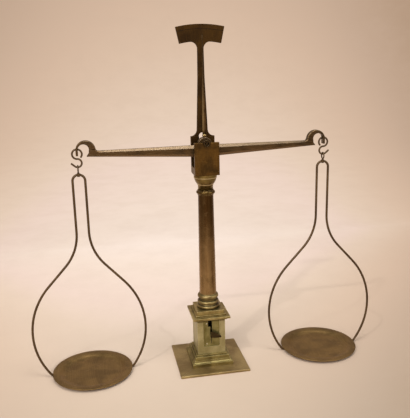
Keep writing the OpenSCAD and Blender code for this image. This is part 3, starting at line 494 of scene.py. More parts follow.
def make_worn_edge():
    """Edges that hands have rubbed bright: where the rounded normal leaves the true one."""
    tree, given, out = effect("worn edge", {"Radius": 0.0008, "Strength": 6.0}, ["Mask"])
    soft = place(tree, "Bevel", {"Radius": given["Radius"]}, samples=6).outputs["Normal"]
    true = place(tree, "NewGeometry").outputs["Normal"]
    same = combined(tree, "DOT_PRODUCT", soft, true, "Value")
    bent = times(tree, calc(tree, "SUBTRACT", 1.0, same), given["Strength"])
    patchy = noise(tree, spot_on(tree), 260.0, 3.0, 0.6)
    rubbed = spread_out(tree, patchy, 0.3, 0.62)
    feed(tree, out["Mask"], times(tree, bent, calc(tree, "MULTIPLY_ADD", rubbed, 0.75, 0.25), clamp=True))
    return tree


def make_recess_grime_and_shade():
    """Old polish and dust, and painted shade, in corners: from how much of the near space is closed off."""
    tree, given, out = effect("recess grime and shade", {"Reach": 0.004, "Strength": 1.2}, ["Mask"])
    near = place(tree, "AmbientOcclusion", {"Distance": given["Reach"]}, samples=8, only_local=True)
    closed = calc(tree, "SUBTRACT", 1.0, near.outputs["AO"])
    patchy = noise(tree, spot_on(tree), 180.0, 3.0)
    amount = times(tree, closed, calc(tree, "MULTIPLY_ADD", patchy, 0.9, 0.5))
    feed(tree, out["Mask"], times(tree, amount, given["Strength"], clamp=True))
    return tree


def make_lathe_lines():
    """Fine rings left by the lathe: noise that changes along the axis and the radius only."""
    tree, given, out = effect("lathe lines", {"Pitch": 0.0006}, ["Height"])
    part = parts_of(tree, spot_on(tree))
    radius = length_of(tree, part["X"], part["Y"])
    spot = place(tree, "CombineXYZ", {"X": radius, "Y": part["Z"]}).outputs[0]
    scale = calc(tree, "DIVIDE", 1.0, given["Pitch"])
    feed(tree, out["Height"], noise(tree, spot, scale, 2.0, noise_dimensions="2D"))
    return tree


def make_drawn_lines():
    """File and polishing marks: noise drawn out along one way by a stretch of the coordinates."""
    tree, given, out = effect("drawn lines", {"Stretch": (0.05, 1.0, 1.0), "Pitch": 0.0007}, ["Height"])
    where = combined(tree, "MULTIPLY", spot_on(tree), given["Stretch"])
    scale = calc(tree, "DIVIDE", 1.0, given["Pitch"])
    feed(tree, out["Height"], noise(tree, where, scale, 3.0, 0.6))
    return tree


def make_scratches():
    """Thin scratches in three directions, where stretched noise passes its middle value."""
    tree, given, out = effect("scratches", {"Amount": 0.5}, ["Mask"])
    where = spot_on(tree)
    total = None
    for angles in ((0.3, 0.5, 0.9), (1.2, -0.4, 2.1), (-0.8, 1.0, 0.2)):
        turn = place(tree, "Mapping", {"Vector": where, "Rotation": angles, "Scale": (6.0, 150.0, 150.0)})
        lines = noise(tree, turn.outputs[0], 3.0, 1.0)
        off = calc(tree, "ABSOLUTE", calc(tree, "SUBTRACT", lines, 0.5))
        thin = ramped(tree, off, 0.012, 0.0)
        total = thin if total is None else calc(tree, "MAXIMUM", total, thin)
    some = spread_out(tree, noise(tree, where, 90.0, 1.0), 0.52, 0.66)
    feed(tree, out["Mask"], times(tree, times(tree, total, some), given["Amount"]))
    return tree


EFFECTS = {"patina": make_patina(), "edge": make_worn_edge(), "grime_and_shade": make_recess_grime_and_shade(),
           "lathe": make_lathe_lines(), "drawn": make_drawn_lines(), "scratches": make_scratches()}


# ---------------------------------------------------------------- finishes

def metal(name, dark, light, worn, grime_and_shade, rough=(0.42, 0.6), size=0.02, edge=(0.0008, 6.0),
          grime_and_shade_reach=0.004, grime_and_shade_strength=1.1, drawn=None, pitch=0.0006, relief=0.00002,
          scratched=0.35, skin=0.75, streaks=0.14, extra=None):
    """Old metal: two tones of patina in clouds, bright worn edges, grime and painted shade in recesses, tool
    marks.

    `rough` is the range from polished to dull, `size` that of the clouds in metres, `edge` the
    worn edges' radius and strength, and `skin` how metallic the patina still is. The tool marks are
    lathe rings, or file marks where `drawn` gives the stretch that draws them out; `pitch` is their
    distance and `relief` their depth in metres, and `streaks` how far they show in the colour.
    """
    m, tree = new_material(name)
    patina = use(tree, "patina", Size=size)
    clouds, flecks = patina["Clouds"], patina["Flecks"]
    edges = use(tree, "edge", Radius=edge[0], Strength=edge[1])["Mask"]
    # Mask of grime and painted shade: recesses that the near space closes in
    corners = use(tree, "grime_and_shade", Reach=grime_and_shade_reach, Strength=grime_and_shade_strength)["Mask"]
    marks = use(tree, "scratches", Amount=scratched)["Mask"]
    if drawn is None:
        height = use(tree, "lathe", Pitch=pitch)["Height"]
    else:
        height = use(tree, "drawn", Pitch=pitch, Stretch=drawn)["Height"]

    colour = mix(tree, clouds, tone(*dark), tone(*light))
    colour = tinted(tree, colour, flecks, 0.35, dark)
    colour = tinted(tree, colour, spread_out(tree, height, 0.35, 0.7), streaks, worn)
    bare = calc(tree, "MAXIMUM", edges, marks)
    if extra is not None:
        colour, bare = extra(tree, colour, bare)
    colour = mix(tree, bare, colour, tone(*worn))
    # Recesses darkened by grime and painted shade together
    colour = mix(tree, corners, colour, tone(*grime_and_shade))

    dull = calc(tree, "MULTIPLY_ADD", flecks, 0.45, times(tree, clouds, 0.55))
    dull = calc(tree, "MAXIMUM", dull, corners)
    dull = calc(tree, "SUBTRACT", dull, times(tree, bare, 0.5), clamp=True)
    roughness = place(tree, "MapRange", {"Value": dull, "To Min": rough[0], "To Max": rough[1]})
    metallic = place(tree, "MapRange", {"Value": bare, "To Min": skin, "To Max": 1.0})

    ground = calc(tree, "MULTIPLY_ADD", flecks, 0.5, height)
    ground = calc(tree, "SUBTRACT", ground, times(tree, marks, 1.5))
    bump = place(tree, "Bump", {"Height": ground, "Distance": relief, "Strength": 1.0})
    shader = place(tree, "BsdfPrincipled", {
        "Base Color": colour, "Metallic": metallic.outputs["Result"],
        "Roughness": roughness.outputs["Result"], "Normal": bump.outputs["Normal"]})
    place(tree, "OutputMaterial", {"Surface": shader.outputs[0]})
    return m


# Each of these takes a finish's colour and its mask of bare metal, and returns both for its piece.

def darker_upwards(tree, colour, bare):
    """The column's skin, painted reflection: lighter below, dark above, soft light and dark upright streaks.
    """
    where = spot_on(tree)
    height = parts_of(tree, where)["Z"]
    drawn = combined(tree, "MULTIPLY", where, (1.0, 1.0, 0.05))
    upright = noise(tree, drawn, 190.0, 2.0)
    # Painted sheen: light and dark upright streaks
    colour = tinted(tree, colour, spread_out(tree, upright, 0.48, 0.62), 0.45, (158, 130, 90))
    colour = tinted(tree, colour, spread_out(tree, upright, 0.5, 0.36), 0.5, (76, 42, 16))
    # Painted reflection of the floor: lighter below, dark above
    wander = calc(tree, "MULTIPLY_ADD", upright, 0.03, height)
    return tinted(tree, colour, ramped(tree, wander, 0.15, 0.25), 0.85, (60, 38, 8)), bare


def painted_shadow_under_cornice(tree, colour, bare):
    """The die's skin, with a painted shadow that darkens it close under the cornice."""
    up = ramped(tree, parts_of(tree, spot_on(tree))["Z"], 0.0676, 0.0692)
    return tinted(tree, colour, up, 0.72, (70, 56, 22)), bare


def painted_shade_below(tree, colour, bare):
    """The cornice's skin with painted shade: darker along its lower mouldings, under the slab, than on the
    slab.
    """
    low = ramped(tree, parts_of(tree, spot_on(tree))["Z"], 0.0746, 0.0738)
    return tinted(tree, colour, low, 0.6, (76, 60, 26)), bare


def ringed(tree, colour, bare):
    """The capital's skin: darker above its lower fillet; the fillet's and slab's edges bright, wear and
    painted highlight.
    """
    height = parts_of(tree, spot_on(tree))["Z"]
    colour = tinted(tree, colour, ramped(tree, height, 0.2664, 0.2682), 0.5, (84, 66, 32))
    # Bright lines at the slab's and the fillet's edges: rubbed metal and painted highlight
    half, lips = 0.0008, []
    for level in (0.2764, 0.2669):
        off = calc(tree, "ABSOLUTE", calc(tree, "SUBTRACT", height, level))
        lips.append(ramped(tree, off, half, half * 0.4))
    return tinted(tree, colour, calc(tree, "MAXIMUM", *lips), 0.75, (206, 186, 142)), bare


def darker_to_tip(tree, colour, bare):
    """The needle's skin: painted light on its left faces, rubbed near the beam and dark towards the tip."""
    up = ramped(tree, parts_of(tree, spot_on(tree))["Z"], 0.36, 0.42)
    across = parts_of(tree, place(tree, "TexCoord").outputs["Normal"])["X"]
    # Painted light: faces turned to the left are lighter
    colour = tinted(tree, colour, ramped(tree, across, -0.1, -0.4), 0.8, (118, 96, 60))
    colour = mix(tree, up, colour, tone(52, 36, 10))
    return colour, times(tree, bare, calc(tree, "SUBTRACT", 1.0, up))


def bevel_bands(tree, colour, bare):
    """The beam's bevels with painted highlight: lighter along the top and less below, with a dark flat
    between.
    """
    where = spot_on(tree)
    rise = parts_of(tree, place(tree, "TexCoord").outputs["Normal"])["Z"]
    top = spread_out(tree, rise, 0.25, 0.5)
    low = spread_out(tree, times(tree, rise, -1.0), 0.25, 0.5)
    along = calc(tree, "ABSOLUTE", parts_of(tree, where)["X"])
    arms = ramped(tree, along, 0.144, 0.136)
    patchy = calc(tree, "MULTIPLY_ADD", noise(tree, where, 70.0, 3.0), 0.5, 0.4)
    # Painted highlight on upward-facing bevels, weaker on downward-facing ones
    colour = tinted(tree, colour, times(tree, top, patchy), arms, (146, 124, 98))
    return tinted(tree, colour, times(tree, low, 0.6), arms, (146, 118, 88)), bare


def engraved(tree, colour, bare):
    """The arc and the middle mark cut into the sector's front: dark where the cut is deep."""
    arc_radius, line_edge, line_core = 0.15165, 0.0005, 0.00025
    mark_radius, mark_half, front_y = 0.15, 0.002, 0.0131
    part = parts_of(tree, spot_on(tree))
    radius = length_of(tree, part["X"], calc(tree, "SUBTRACT", part["Z"], KNIFE_Z * MM))
    off_line = calc(tree, "ABSOLUTE", calc(tree, "SUBTRACT", radius, arc_radius))
    arc_cut = ramped(tree, off_line, line_edge, line_core)
    mark = ramped(tree, calc(tree, "ABSOLUTE", part["X"]), line_edge, line_core)
    below = calc(tree, "COMPARE", radius, mark_radius, mark_half)
    cut = calc(tree, "MAXIMUM", arc_cut, times(tree, mark, below))
    cut = times(tree, cut, calc(tree, "LESS_THAN", part["Y"], front_y))
    return tinted(tree, colour, cut, 0.8, (26, 17, 6)), bare


# Ways of working that several finishes share
FILED_UPRIGHT = dict(drawn=(1.0, 1.0, 0.06), pitch=0.0006)
LATHED = dict(pitch=0.0007, relief=0.000008, scratched=0.3)
SMALL = dict(size=0.006, pitch=0.0003)

# Each finish has its patina dark and light, its worn metal, its grime and painted shade, and then how it was
# worked
FINISH = {
    "base": metal(
        "base bronze", (127, 104, 63), (170, 145, 96), (165, 145, 101), (50, 38, 20), size=0.03,
        drawn=(0.07, 1.0, 1.0), pitch=0.0011, edge=(0.0009, 4.0), rough=(0.36, 0.52), streaks=0.3,
        scratched=0.6),
    "plinth": metal(
        "plinth bronze", (104, 90, 50), (159, 143, 89), (206, 192, 134), (52, 42, 18), size=0.018,
        drawn=(0.07, 0.07, 1.0), pitch=0.0007, edge=(0.0009, 8.0), rough=(0.32, 0.46), skin=0.85),
    # The die and the panel carry a painted shadow close under the cornice, and strong painted shade in their
    # recesses
    "die": metal(
        "die brass", (147, 136, 90), (183, 171, 127), (222, 214, 168), (84, 74, 36), size=0.025,
        rough=(0.38, 0.52), skin=0.8, streaks=0.1, grime_and_shade_reach=0.005, grime_and_shade_strength=1.8,
        extra=painted_shadow_under_cornice, **FILED_UPRIGHT),
    "panel": metal(
        "panel brass", (109, 100, 54), (146, 137, 85), (214, 204, 152), (60, 50, 22), size=0.014,
        rough=(0.34, 0.5), skin=0.85, grime_and_shade_reach=0.003, grime_and_shade_strength=1.6, extra=painted_shadow_under_cornice,
        **FILED_UPRIGHT),
    # The cornice carries painted shade on its lower mouldings under the slab
    "cornice": metal(
        "cornice brass", (121, 103, 56), (184, 163, 108), (214, 200, 144), (52, 42, 16),
        drawn=(0.08, 0.08, 1.0), rough=(0.3, 0.46), skin=0.88, edge=(0.0009, 8.0), extra=painted_shade_below),
    # The column carries painted reflection: upright streaks, lighter below and dark above
    "column": metal(
        "column bronze", (120, 95, 59), (161, 130, 87), (200, 176, 130), (38, 26, 8), size=0.03,
        rough=(0.22, 0.38), pitch=0.0007, relief=0.000006, skin=0.92, scratched=0.3, streaks=0.04,
        extra=darker_upwards),
    "turned": metal(
        "turned bronze", (96, 77, 42), (150, 131, 83), (214, 192, 146), (34, 24, 6),
        rough=(0.32, 0.48), skin=0.8, streaks=0.06, edge=(0.0008, 5.0), grime_and_shade_strength=1.5, **LATHED),
    "capital": metal(
        "capital bronze", (124, 99, 48), (178, 155, 88), (214, 192, 146), (34, 24, 6),
        rough=(0.3, 0.46), skin=0.82, streaks=0.06, edge=(0.0008, 4.0), grime_and_shade_strength=1.5,
        extra=ringed, **LATHED),
    "neck": metal(
        "neck bronze", (78, 59, 27), (113, 90, 47), (206, 184, 140), (30, 20, 6),
        rough=(0.2, 0.34), skin=0.92, streaks=0.05, edge=(0.0008, 5.0), grime_and_shade_strength=1.5, **LATHED),
    "head": metal(
        "head bronze", (59, 39, 5), (96, 65, 16), (160, 124, 67), (26, 18, 6), size=0.022,
        drawn=(1.0, 1.0, 0.07), rough=(0.34, 0.5), edge=(0.001, 8.0)),
    "index": metal(
        "index bronze", (44, 26, 0), (63, 40, 0), (112, 80, 30), (24, 16, 4), size=0.022,
        drawn=(1.0, 1.0, 0.07), rough=(0.4, 0.55), extra=engraved),
    "beam": metal(
        "beam bronze", (54, 37, 13), (86, 62, 30), (167, 144, 110), (28, 18, 6), size=0.03,
        drawn=(0.05, 1.0, 1.0), rough=(0.32, 0.46), edge=(0.0012, 3.0), extra=bevel_bands),
    "wire": metal(
        "wire bronze", (80, 60, 36), (98, 76, 48), (134, 112, 82), (40, 28, 14), size=0.03,
        drawn=(1.0, 1.0, 0.1), pitch=0.0012, rough=(0.4, 0.52), edge=(0.0003, 0.5), scratched=0.0,
        streaks=0.06, relief=0.000008, skin=0.65),
    "pan": metal(
        "pan bronze", (100, 75, 37), (128, 98, 54), (181, 148, 96), (58, 42, 22), size=0.03,
        rough=(0.38, 0.54), pitch=0.0012, relief=0.00003, scratched=0.5, grime_and_shade_reach=0.003),
    "needle": metal(
        "needle brass", (58, 36, 9), (92, 63, 24), (143, 116, 74), (34, 24, 8), size=0.012,
        drawn=(1.0, 1.0, 0.06), pitch=0.0004, rough=(0.3, 0.45), edge=(0.0004, 1.0),
        scratched=0.1, extra=darker_to_tip),
    "nut": metal(
        "nut brass", (110, 88, 46), (150, 126, 74), (240, 226, 190), (50, 36, 12),
        rough=(0.14, 0.28), skin=1.0, **SMALL),
    "rivet": metal(
        "rivet brass", (176, 164, 122), (222, 214, 178), (248, 242, 220), (90, 76, 40), size=0.004,
        rough=(0.3, 0.45), pitch=0.0003, skin=0.7),
    "bearing": metal(
        "bearing steel", (52, 41, 25), (77, 63, 41), (172, 154, 119), (30, 22, 12),
        rough=(0.2, 0.36), skin=1.0, edge=(0.0005, 2.5), **SMALL),
    "steel": metal(
        "worn steel", (120, 112, 102), (160, 152, 142), (216, 210, 202), (48, 40, 32), size=0.008,
        rough=(0.24, 0.42), pitch=0.0003, skin=1.0),
    "lever": metal(
        "lever bronze", (37, 27, 8), (62, 48, 19), (107, 84, 50), (22, 14, 4), size=0.012,
        drawn=(1.0, 0.1, 1.0), pitch=0.0005, rough=(0.36, 0.5)),
}


# ---------------------------------------------------------------- pedestal

def screw_cutters():
    """Four countersunk holes through the base plate, as lathe work about each screw."""
    head_r, shank_r, below, above, spacing = 2.9, 1.55, -1, BASE_TOP + 1, 14.5
    line = to_axis((0, below, 0), (head_r, below, 0), (head_r, 0.4, 0), (shank_r, 1.75, 0),
                   (shank_r, above, 0), (0, above, 0))
    hole = turned(line, around=40)
    return [moved(hole, (x, y, 0)) for x in (-spacing, spacing) for y in (-spacing, spacing)]


base_line = to_axis((0, 0, 0), (50, 0, 0.25), (50, 2.4, 0.2), (49.2, BASE_TOP, 0.25), (0, BASE_TOP, 0))
base = cut_out(new_mesh("base_plate_skin", [mitred(base_line, corner=0.8)]),
               new_mesh("drill", screw_cutters()))
piece("base_plate", base, "stand", "base")

plinth_line = profile(
    (9.2, BASE_TOP, 0), (29.8, BASE_TOP, 0.2), (29.8, 8.2, 0.4), (28.9, 8.2, 0),
    arc(28.8, 11.0, 2.8, 268, 182), (26, 11.0, 0), (26, PLINTH_TOP, 0.25), (9.2, PLINTH_TOP, 0))
piece("plinth", [mitred(plinth_line, ring=True)], "stand", "plinth")

cap_line = to_axis((0, PLINTH_TOP, 0), (24.8, PLINTH_TOP, 0.2), (24.8, 16.5, 0.45), (22.5, 16.5, 0.2),
                   (22.5, CAP_TOP, 0.4), (0, CAP_TOP, 0))
piece("plinth_cap", [mitred(cap_line)], "stand", "plinth")

eased_copy("pedestal_die", "stand", "die", width=0.45)
eased_copy("slot_plate", "stand", "panel", width=0.3)
eased_copy("lift_lever", "lever", "lever", width=0.35)

cornice_line = profile(
    (TENON_HOLE, CORNICE_LOW, 0), (21.8, CORNICE_LOW, 0), arc(21.8, 72.5, 1.5, -88, 88), (21.8, 74, 0),
    (27, 74, 0.3), (27, 77, 0.45), (21.8, 77, 0.25), (21.8, CORNICE_TOP, 0.4),
    (TENON_HOLE, CORNICE_TOP, 0))
piece("cornice", [mitred(cornice_line, ring=True)], "stand", "cornice")

block_line = profile((TENON_HOLE, CORNICE_TOP, 0), (19.8, CORNICE_TOP, 0.2), (19.8, BLOCK_TOP, 0.5),
                     (TENON_HOLE, BLOCK_TOP, 0))
piece("column_block", [mitred(block_line, ring=True)], "stand", "cornice")


# ---------------------------------------------------------------- column

foot_line = profile(
    (4.4, 64.5, 0), (6.4, 64.5, 0), (6.4, BLOCK_TOP, 0), (13.8, BLOCK_TOP, 0),
    arc(13.8, 87.4, 2.4, -87, 90, 18), (13.4, 89.82, 0), (13.4, 91.6, 0),
    arc(13.0, 94.0, 2.4, -80, 86, 18), (12.2, 96.4, 0.3), (12.2, 99.0, 0),
    arc(11.9, 102.3, 3.2, -84, 82, 20), (12.35, 105.5, 0), (13.0, 105.5, 0.15), (13.0, FOOT_TOP, 0.3),
    (TENON, FOOT_TOP, 0), (TENON, 114.5, 0), (ROD_WAY, 114.5, 0), (ROD_WAY, 94.5, 0), (4.4, 94.5, 0))
piece("column_foot", [turned(foot_line, ring=True)], "stand", "turned")

shaft_line = profile(
    (COLUMN_BORE, FOOT_TOP, 0), (12.2, FOOT_TOP, 0.2), (11.824, 143, 0), (11.453, 179, 0),
    (11.072, 216, 0), (10.7, SHAFT_TOP, 0.2), (COLUMN_BORE, SHAFT_TOP, 0))
piece("column_tube", [turned(shaft_line, ring=True)], "stand", "column")

neck_line = profile(
    (COLUMN_BORE, SHAFT_TOP, 0), (11.5, SHAFT_TOP, 0.25), (11.5, 253.1, 0),
    arc(10.7, 255.6, 2.5, -71, 71, 16), (11.5, 258.1, 0), (11.5, NECK_TOP, 0.3),
    (COLUMN_BORE, NECK_TOP, 0))
piece("neck_ring", [turned(neck_line, ring=True)], "stand", "neck")

capital_line = profile(
    (ROD_WAY, 244.1, 0), (TENON, 244.1, 0), (TENON, NECK_TOP, 0), (10.6, NECK_TOP, 0), (10.6, 266, 0),
    (11.4, 266, 0.25), (11.4, 267, 0), arc(-2.142, 278.8, 17.96, -41, -9, 14), (15.62, 276, 0),
    (16, 276, 0.2), (16, CAPITAL_TOP, 0.35), (ROD_WAY, CAPITAL_TOP, 0))
piece("capital", [turned(capital_line, ring=True)], "stand", "capital")


# ---------------------------------------------------------------- head

def front_cheek_outline():
    """A rectangle with a round seat for the bearing let in from its top edge."""
    half, top, ease = 17, 326, 0.3
    edge = np.degrees(np.arcsin((top - BEARING_Z) / SEAT_R))
    seat = arc(0, BEARING_Z, SEAT_R, edge, -180 - edge, 36)
    return profile((-half, CAPITAL_TOP, ease), (half, CAPITAL_TOP, ease), (half, top, ease), seat,
                   (-half, top, ease), closed=True, steps=3)


def index_outline():
    """The tall plate: square foot, hollow shoulders, tapered post and a sector struck from the knife.

    The right half is a chain of corners and arcs, and the left half its mirror image. A fillet
    touches the post's side and the sector's inner arc, so its centre lies a fillet's radius from
    both.
    """
    foot_half, shoulder_z, shoulder_r = 16.6, 331.6, 9.0
    post_low_z, post_low, post_top = 340.6, 7.5, 4.2
    inner_r, outer_r, end_deg, fillet = 135.6, 157.8, 12.1, 9.0
    post_h = KNIFE_Z + inner_r - post_low_z
    cx = post_top + fillet
    cz = KNIFE_Z + np.sqrt((inner_r - fillet) ** 2 - cx ** 2)
    lean = np.degrees(np.arctan2(cx, cz - KNIFE_Z))
    end, end_arc = np.radians(end_deg), 90 - end_deg + 0.6
    right = profile(
        (0, CAPITAL_TOP, 0), (foot_half, CAPITAL_TOP, 0.3), (foot_half, shoulder_z, 0.3),
        arc(post_low + shoulder_r, post_low_z, shoulder_r, 269, 180, 14),
        (post_low - 1.0, post_low_z + post_h * 0.22, 2.0),
        (post_top + 0.5, post_low_z + post_h * 0.6, 2.0),
        arc(cx, cz, fillet, 180, 90 - lean, 12),
        arc(0, KNIFE_Z, inner_r, 90 - lean - 0.4, end_arc, 6),
        (inner_r * np.sin(end), KNIFE_Z + inner_r * np.cos(end), 0.4),
        (outer_r * np.sin(end), KNIFE_Z + outer_r * np.cos(end), 0.4),
        arc(0, KNIFE_Z, outer_r, end_arc, 90, 14), steps=3)[1:]
    return np.vstack([right, right[-2::-1] * [-1, 1]])


def window():
    """The opening behind the hub: the bearing's seat below, a wider arch above and a step between."""
    step_x, step_z = 4.8, BEARING_Z + 0.4
    low = arc(0, BEARING_Z, SEAT_R, 180 + 5, 360 - 5, 24)
    high = arc(0, ARCH_Z, ARCH_R, -18, 198, 28)
    return np.vstack([low, [[step_x, step_z]], high, [[-step_x, step_z]]])


def back_cheek_outline():
    """The cheek in front of the tall plate: a block with the window's lower part let into its top."""
    half, low, step_x, step_z = 16.55, CAPITAL_TOP + 0.05, 4.84, BEARING_Z + 0.4
    return np.vstack([
        [[-half, low], [half, low], [half, BACK_CHEEK_TOP]],
        arc(0, ARCH_Z, BACK_ARCH_R, 1.6, -18, 3), [[step_x, step_z]],
        arc(0, BEARING_Z, BACK_SEAT_R, -5, -175, 24), [[-step_x, step_z]],
        arc(0, ARCH_Z, BACK_ARCH_R, 198, 178.4, 3), [[-half, BACK_CHEEK_TOP]]])


def bearing_ring(y0, y1):
    """A hardened ring: a closed section of lathe work about the knife's line."""
    line = profile((2.8, y0, 0.25), (BEARING_R, y0, 0.35), (BEARING_R, y1, 0.2), (2.8, y1, 0.2),
                   closed=True)
    return turned(line, around=64, axis="y", centre=(0, 0, BEARING_Z), ring=True)


eased_copy("fork_base", "head", "head", width=0.35)
piece("front_cheek", [plate(front_cheek_outline(), -CHEEK_OUT, -CHEEK_IN, 0.45)], "head",
      "head")
piece("index_plate", [plate(index_outline(), 12.9, CHEEK_OUT, 0.4, holes=[window()]),
                      plate(back_cheek_outline(), CHEEK_IN, 14.5, 0.3)], "head", "index")
piece("front_bearing", [bearing_ring(-18.5, -CHEEK_IN)], "head", "bearing")
piece("back_bearing", [bearing_ring(CHEEK_IN, CHEEK_OUT)], "head", "bearing")


# ---------------------------------------------------------------- beam

def half_beam():
    """The right arm and its swan neck on two rails, from the hub to the tip.

    The arm's rungs stand upright between two straight lines. At the elbow they turn level about the
    hollow corner, over the pointed toe. The neck's rails are two circles, from the left over the
    top to the right, and the tip hangs straight down, eased off by its last stations.
    """
    stations, reach = 36, 154.8
    x = np.linspace(0, 141, stations)
    arm_top = np.stack([x, 321.4 - 1.2 * x / reach], -1)
    arm_low = np.stack([x, 304.8 + 8.4 * x / reach], -1)
    inner_circle, outer_circle = (162.5, 322.7, 7.2), (159.6, 321.5, 13.1)
    corner = np.vstack([[[142.2, 320.3]], arc(143.3, 323.5, 3.2, -90, -4, 15)])
    toe = np.vstack([[[145.5, 312.72], [150, 312.96], [154.4, 313.19], [157.6, 313.2], [158.7, 313.35],
                      [158.6, 313.75], [157.7, 315.0], [156.6, 316.45], [155.86, 317.6],
                      [155.7, 318.6], [155.7, 319.6]], arc(*inner_circle, 198, 182, 5)])
    tip_z = np.array([321.2, 319.0, 317.0, 315.4, 315.1, 314.9, 314.8])
    less = np.array([0, 0, 0, 0, 0.04, 0.14, 0.34])
    upper = np.vstack([arm_top, corner, arc(*outer_circle, 178, 2, 43), np.stack([172.7 - less, tip_z], -1)])
    lower = np.vstack([arm_low, toe, arc(*inner_circle, 178, 2, 43), np.stack([169.7 + less, tip_z], -1)])
    station = np.arange(len(upper))
    thick = 9.0 - 1.4 * np.clip(station / stations, 0, 1)
    thick[-len(less):] -= 2 * less
    height = np.linalg.norm(upper - lower, axis=1)
    steepest = np.interp(station, [0, stations, stations + len(corner), station[-1]], [4.15, 1.75, 1.2, 0.7])
    return ladder(upper, lower, thick, np.minimum(0.25 * height, steepest))


def beam_shells():
    """Both arms and the round hub between the cheeks."""
    arm = half_beam()
    hub = turned(to_axis((0, -5, 0), (9.5, -5, 0.6), (9.5, 5, 0.6), (0, 5, 0)), axis="y",
                 centre=(0, 0, KNIFE_Z))
    return [arm, moved(arm, mirror=True), hub]


def hook_drills():
    """The hooks' holes: two cones that meet in a thin throat inside each tip."""
    hole_z, mouth_r, throat_r, out = 323.85, 3.6, 1.7, 2.8
    line = to_axis((0, -out, 0), (mouth_r, -out, 0), (throat_r, 0, 0), (mouth_r, out, 0), (0, out, 0))
    drill = turned(line, around=32, axis="x", centre=(0, 0, hole_z))
    return [moved(drill, (s * ARM, 0, 0)) for s in (-1, 1)]


beam_mesh = cut_out(new_mesh("beam_skin", beam_shells()), new_mesh("drill", hook_drills()))
piece("beam", beam_mesh, "balance_beam", "beam")

knife = np.array([[0, KNIFE_Z], [1.5, KNIFE_Z + 2.6], [1.5, KNIFE_Z + 4.2], [-1.5, KNIFE_Z + 4.2],
                  [-1.5, KNIFE_Z + 2.6]])
piece("knife_edge", [plate(knife, -17.9, 16.3, 0.12, hold=0.1)], "balance_beam", "bearing")


def needle_blade():
    """A four-sided blade: its lozenge section shrinks in a straight line to a fifth at the tip."""
    foot_z, length, half_x, half_y = 335.9, 130.9, 2.8, 1.5
    share = np.linspace(0, 1, 24)
    size = 1 - 0.8 * share
    lozenge = np.array([[half_x, 0], [0, half_y], [-half_x, 0], [0, -half_y]])
    section = eased(size[:, None, None] * lozenge, 0.12, steps=2, hold=0.1)
    z = np.broadcast_to((foot_z + length * share)[:, None], section.shape[:2])
    return closed_tube(np.dstack([section, z]), False)


stem = turned(to_axis((0, 327, 0), (1.2, 327, 0), (1.2, 336.2, 0), (0, 336.2, 0)), around=24)
piece("needle", [needle_blade(), stem], "balance_beam", "needle")

nut_line = np.vstack([[[1.22, 331.7]], arc(0, 333.8, 2.9, -43, 44, 16), [[1.22, 335.9]]])
piece("needle_nut", [turned(nut_line, around=48, ring=True)], "balance_beam", "nut")


# ---------------------------------------------------------------- hooks, eyes, loops and pans

def heading(degrees):
    """The unit step in a direction."""
    return np.array([np.cos(np.radians(degrees)), np.sin(np.radians(degrees))])


def hook():
    """An S of wire: a nearly closed ring above, an open hook below and a straight tip."""
    hook_z, hook_r, end_deg = 305.15, 5.5, 310
    end = np.array([0, hook_z]) + hook_r * heading(end_deg)
    path = np.vstack([arc(0, 317.05, 6.4, 228, -90, 80), arc(0, hook_z, hook_r, 92, end_deg, 60)[1:],
                      [end + heading(end_deg + 90) * t for t in (1.5, 3.5, 6.5)]])
    return wire(path, 1.25)


def eye():
    """A small ring on a shank that turns in the loop's crown, with a collar above and a rivet below."""
    shank_r = 0.9
    line = to_axis((0, 286.8, 0), (1.9, 286.8, 0.45), (1.9, 287.8, 0.1), (shank_r, 287.8, 0),
                   (shank_r, 291.2, 0), (1.5, 291.2, 0.15), (1.5, 292.5, 0.4), (shank_r, 292.9, 0),
                   (shank_r, 293.4, 0), (0, 293.4, 0))
    return [wire_ring(4.4, 0.9, 297.45), turned(line, around=32)]


def loop():
    """Pear-shaped wire in two legs from the crown's boss, each ending level under the pan's rim.

    A leg runs over the crown's quarter circle, down, out along the shoulder's arc, straight on, round
    the belly's arc and in along the foot's, each meeting the next without a kink. The crown's
    underside is faced flat round the middle, where the eye's rivet turns: a point there that lies
    lower is lifted to the face.
    """
    crown_z, crown_r, shoulder_z, shoulder_r = 281.2, 8.3, 210.0836, 71
    belly_x, belly_z, belly_r, foot_z, foot_r = -25.2672, 65.1659, 104, 5.9, 4
    slant, foot_turn = 42.5, -36.3459
    run = np.array([crown_r + shoulder_r, shoulder_z]) + shoulder_r * heading(180 + slant)
    foot_x = belly_x + (belly_r - foot_r) * np.cos(np.radians(foot_turn))
    path = np.vstack([
        arc(0, crown_z, crown_r, 80, 0, 30), [[crown_r, z] for z in (270, 255, 240, 225)],
        arc(crown_r + shoulder_r, shoulder_z, shoulder_r, 180, 180 + slant, 30),
        [run + heading(slant - 90) * t for t in (9, 18, 27)],
        arc(belly_x, belly_z, belly_r, slant, foot_turn, 70), arc(foot_x, foot_z, foot_r, -39, -90, 10),
        [[foot_x - t, foot_z - foot_r] for t in (1.5, 3, 4.6)]])
    points, faces = wire(path, 1.65)
    face_z, boss_top = 287.85, 291.15
    faced = (np.hypot(points[:, 0], points[:, 1]) < 2.2) & (points[:, 2] > 286)
    points[faced, 2] = np.maximum(points[faced, 2], face_z)
    leg = (points, faces)
    boss_line = profile((0.95, face_z, 0), (2.7, face_z, 0.5), (2.7, boss_top, 0.5), (0.95, boss_top, 0),
                        closed=True)
    return [leg, moved(leg, mirror=True), turned(boss_line, around=40, ring=True)]


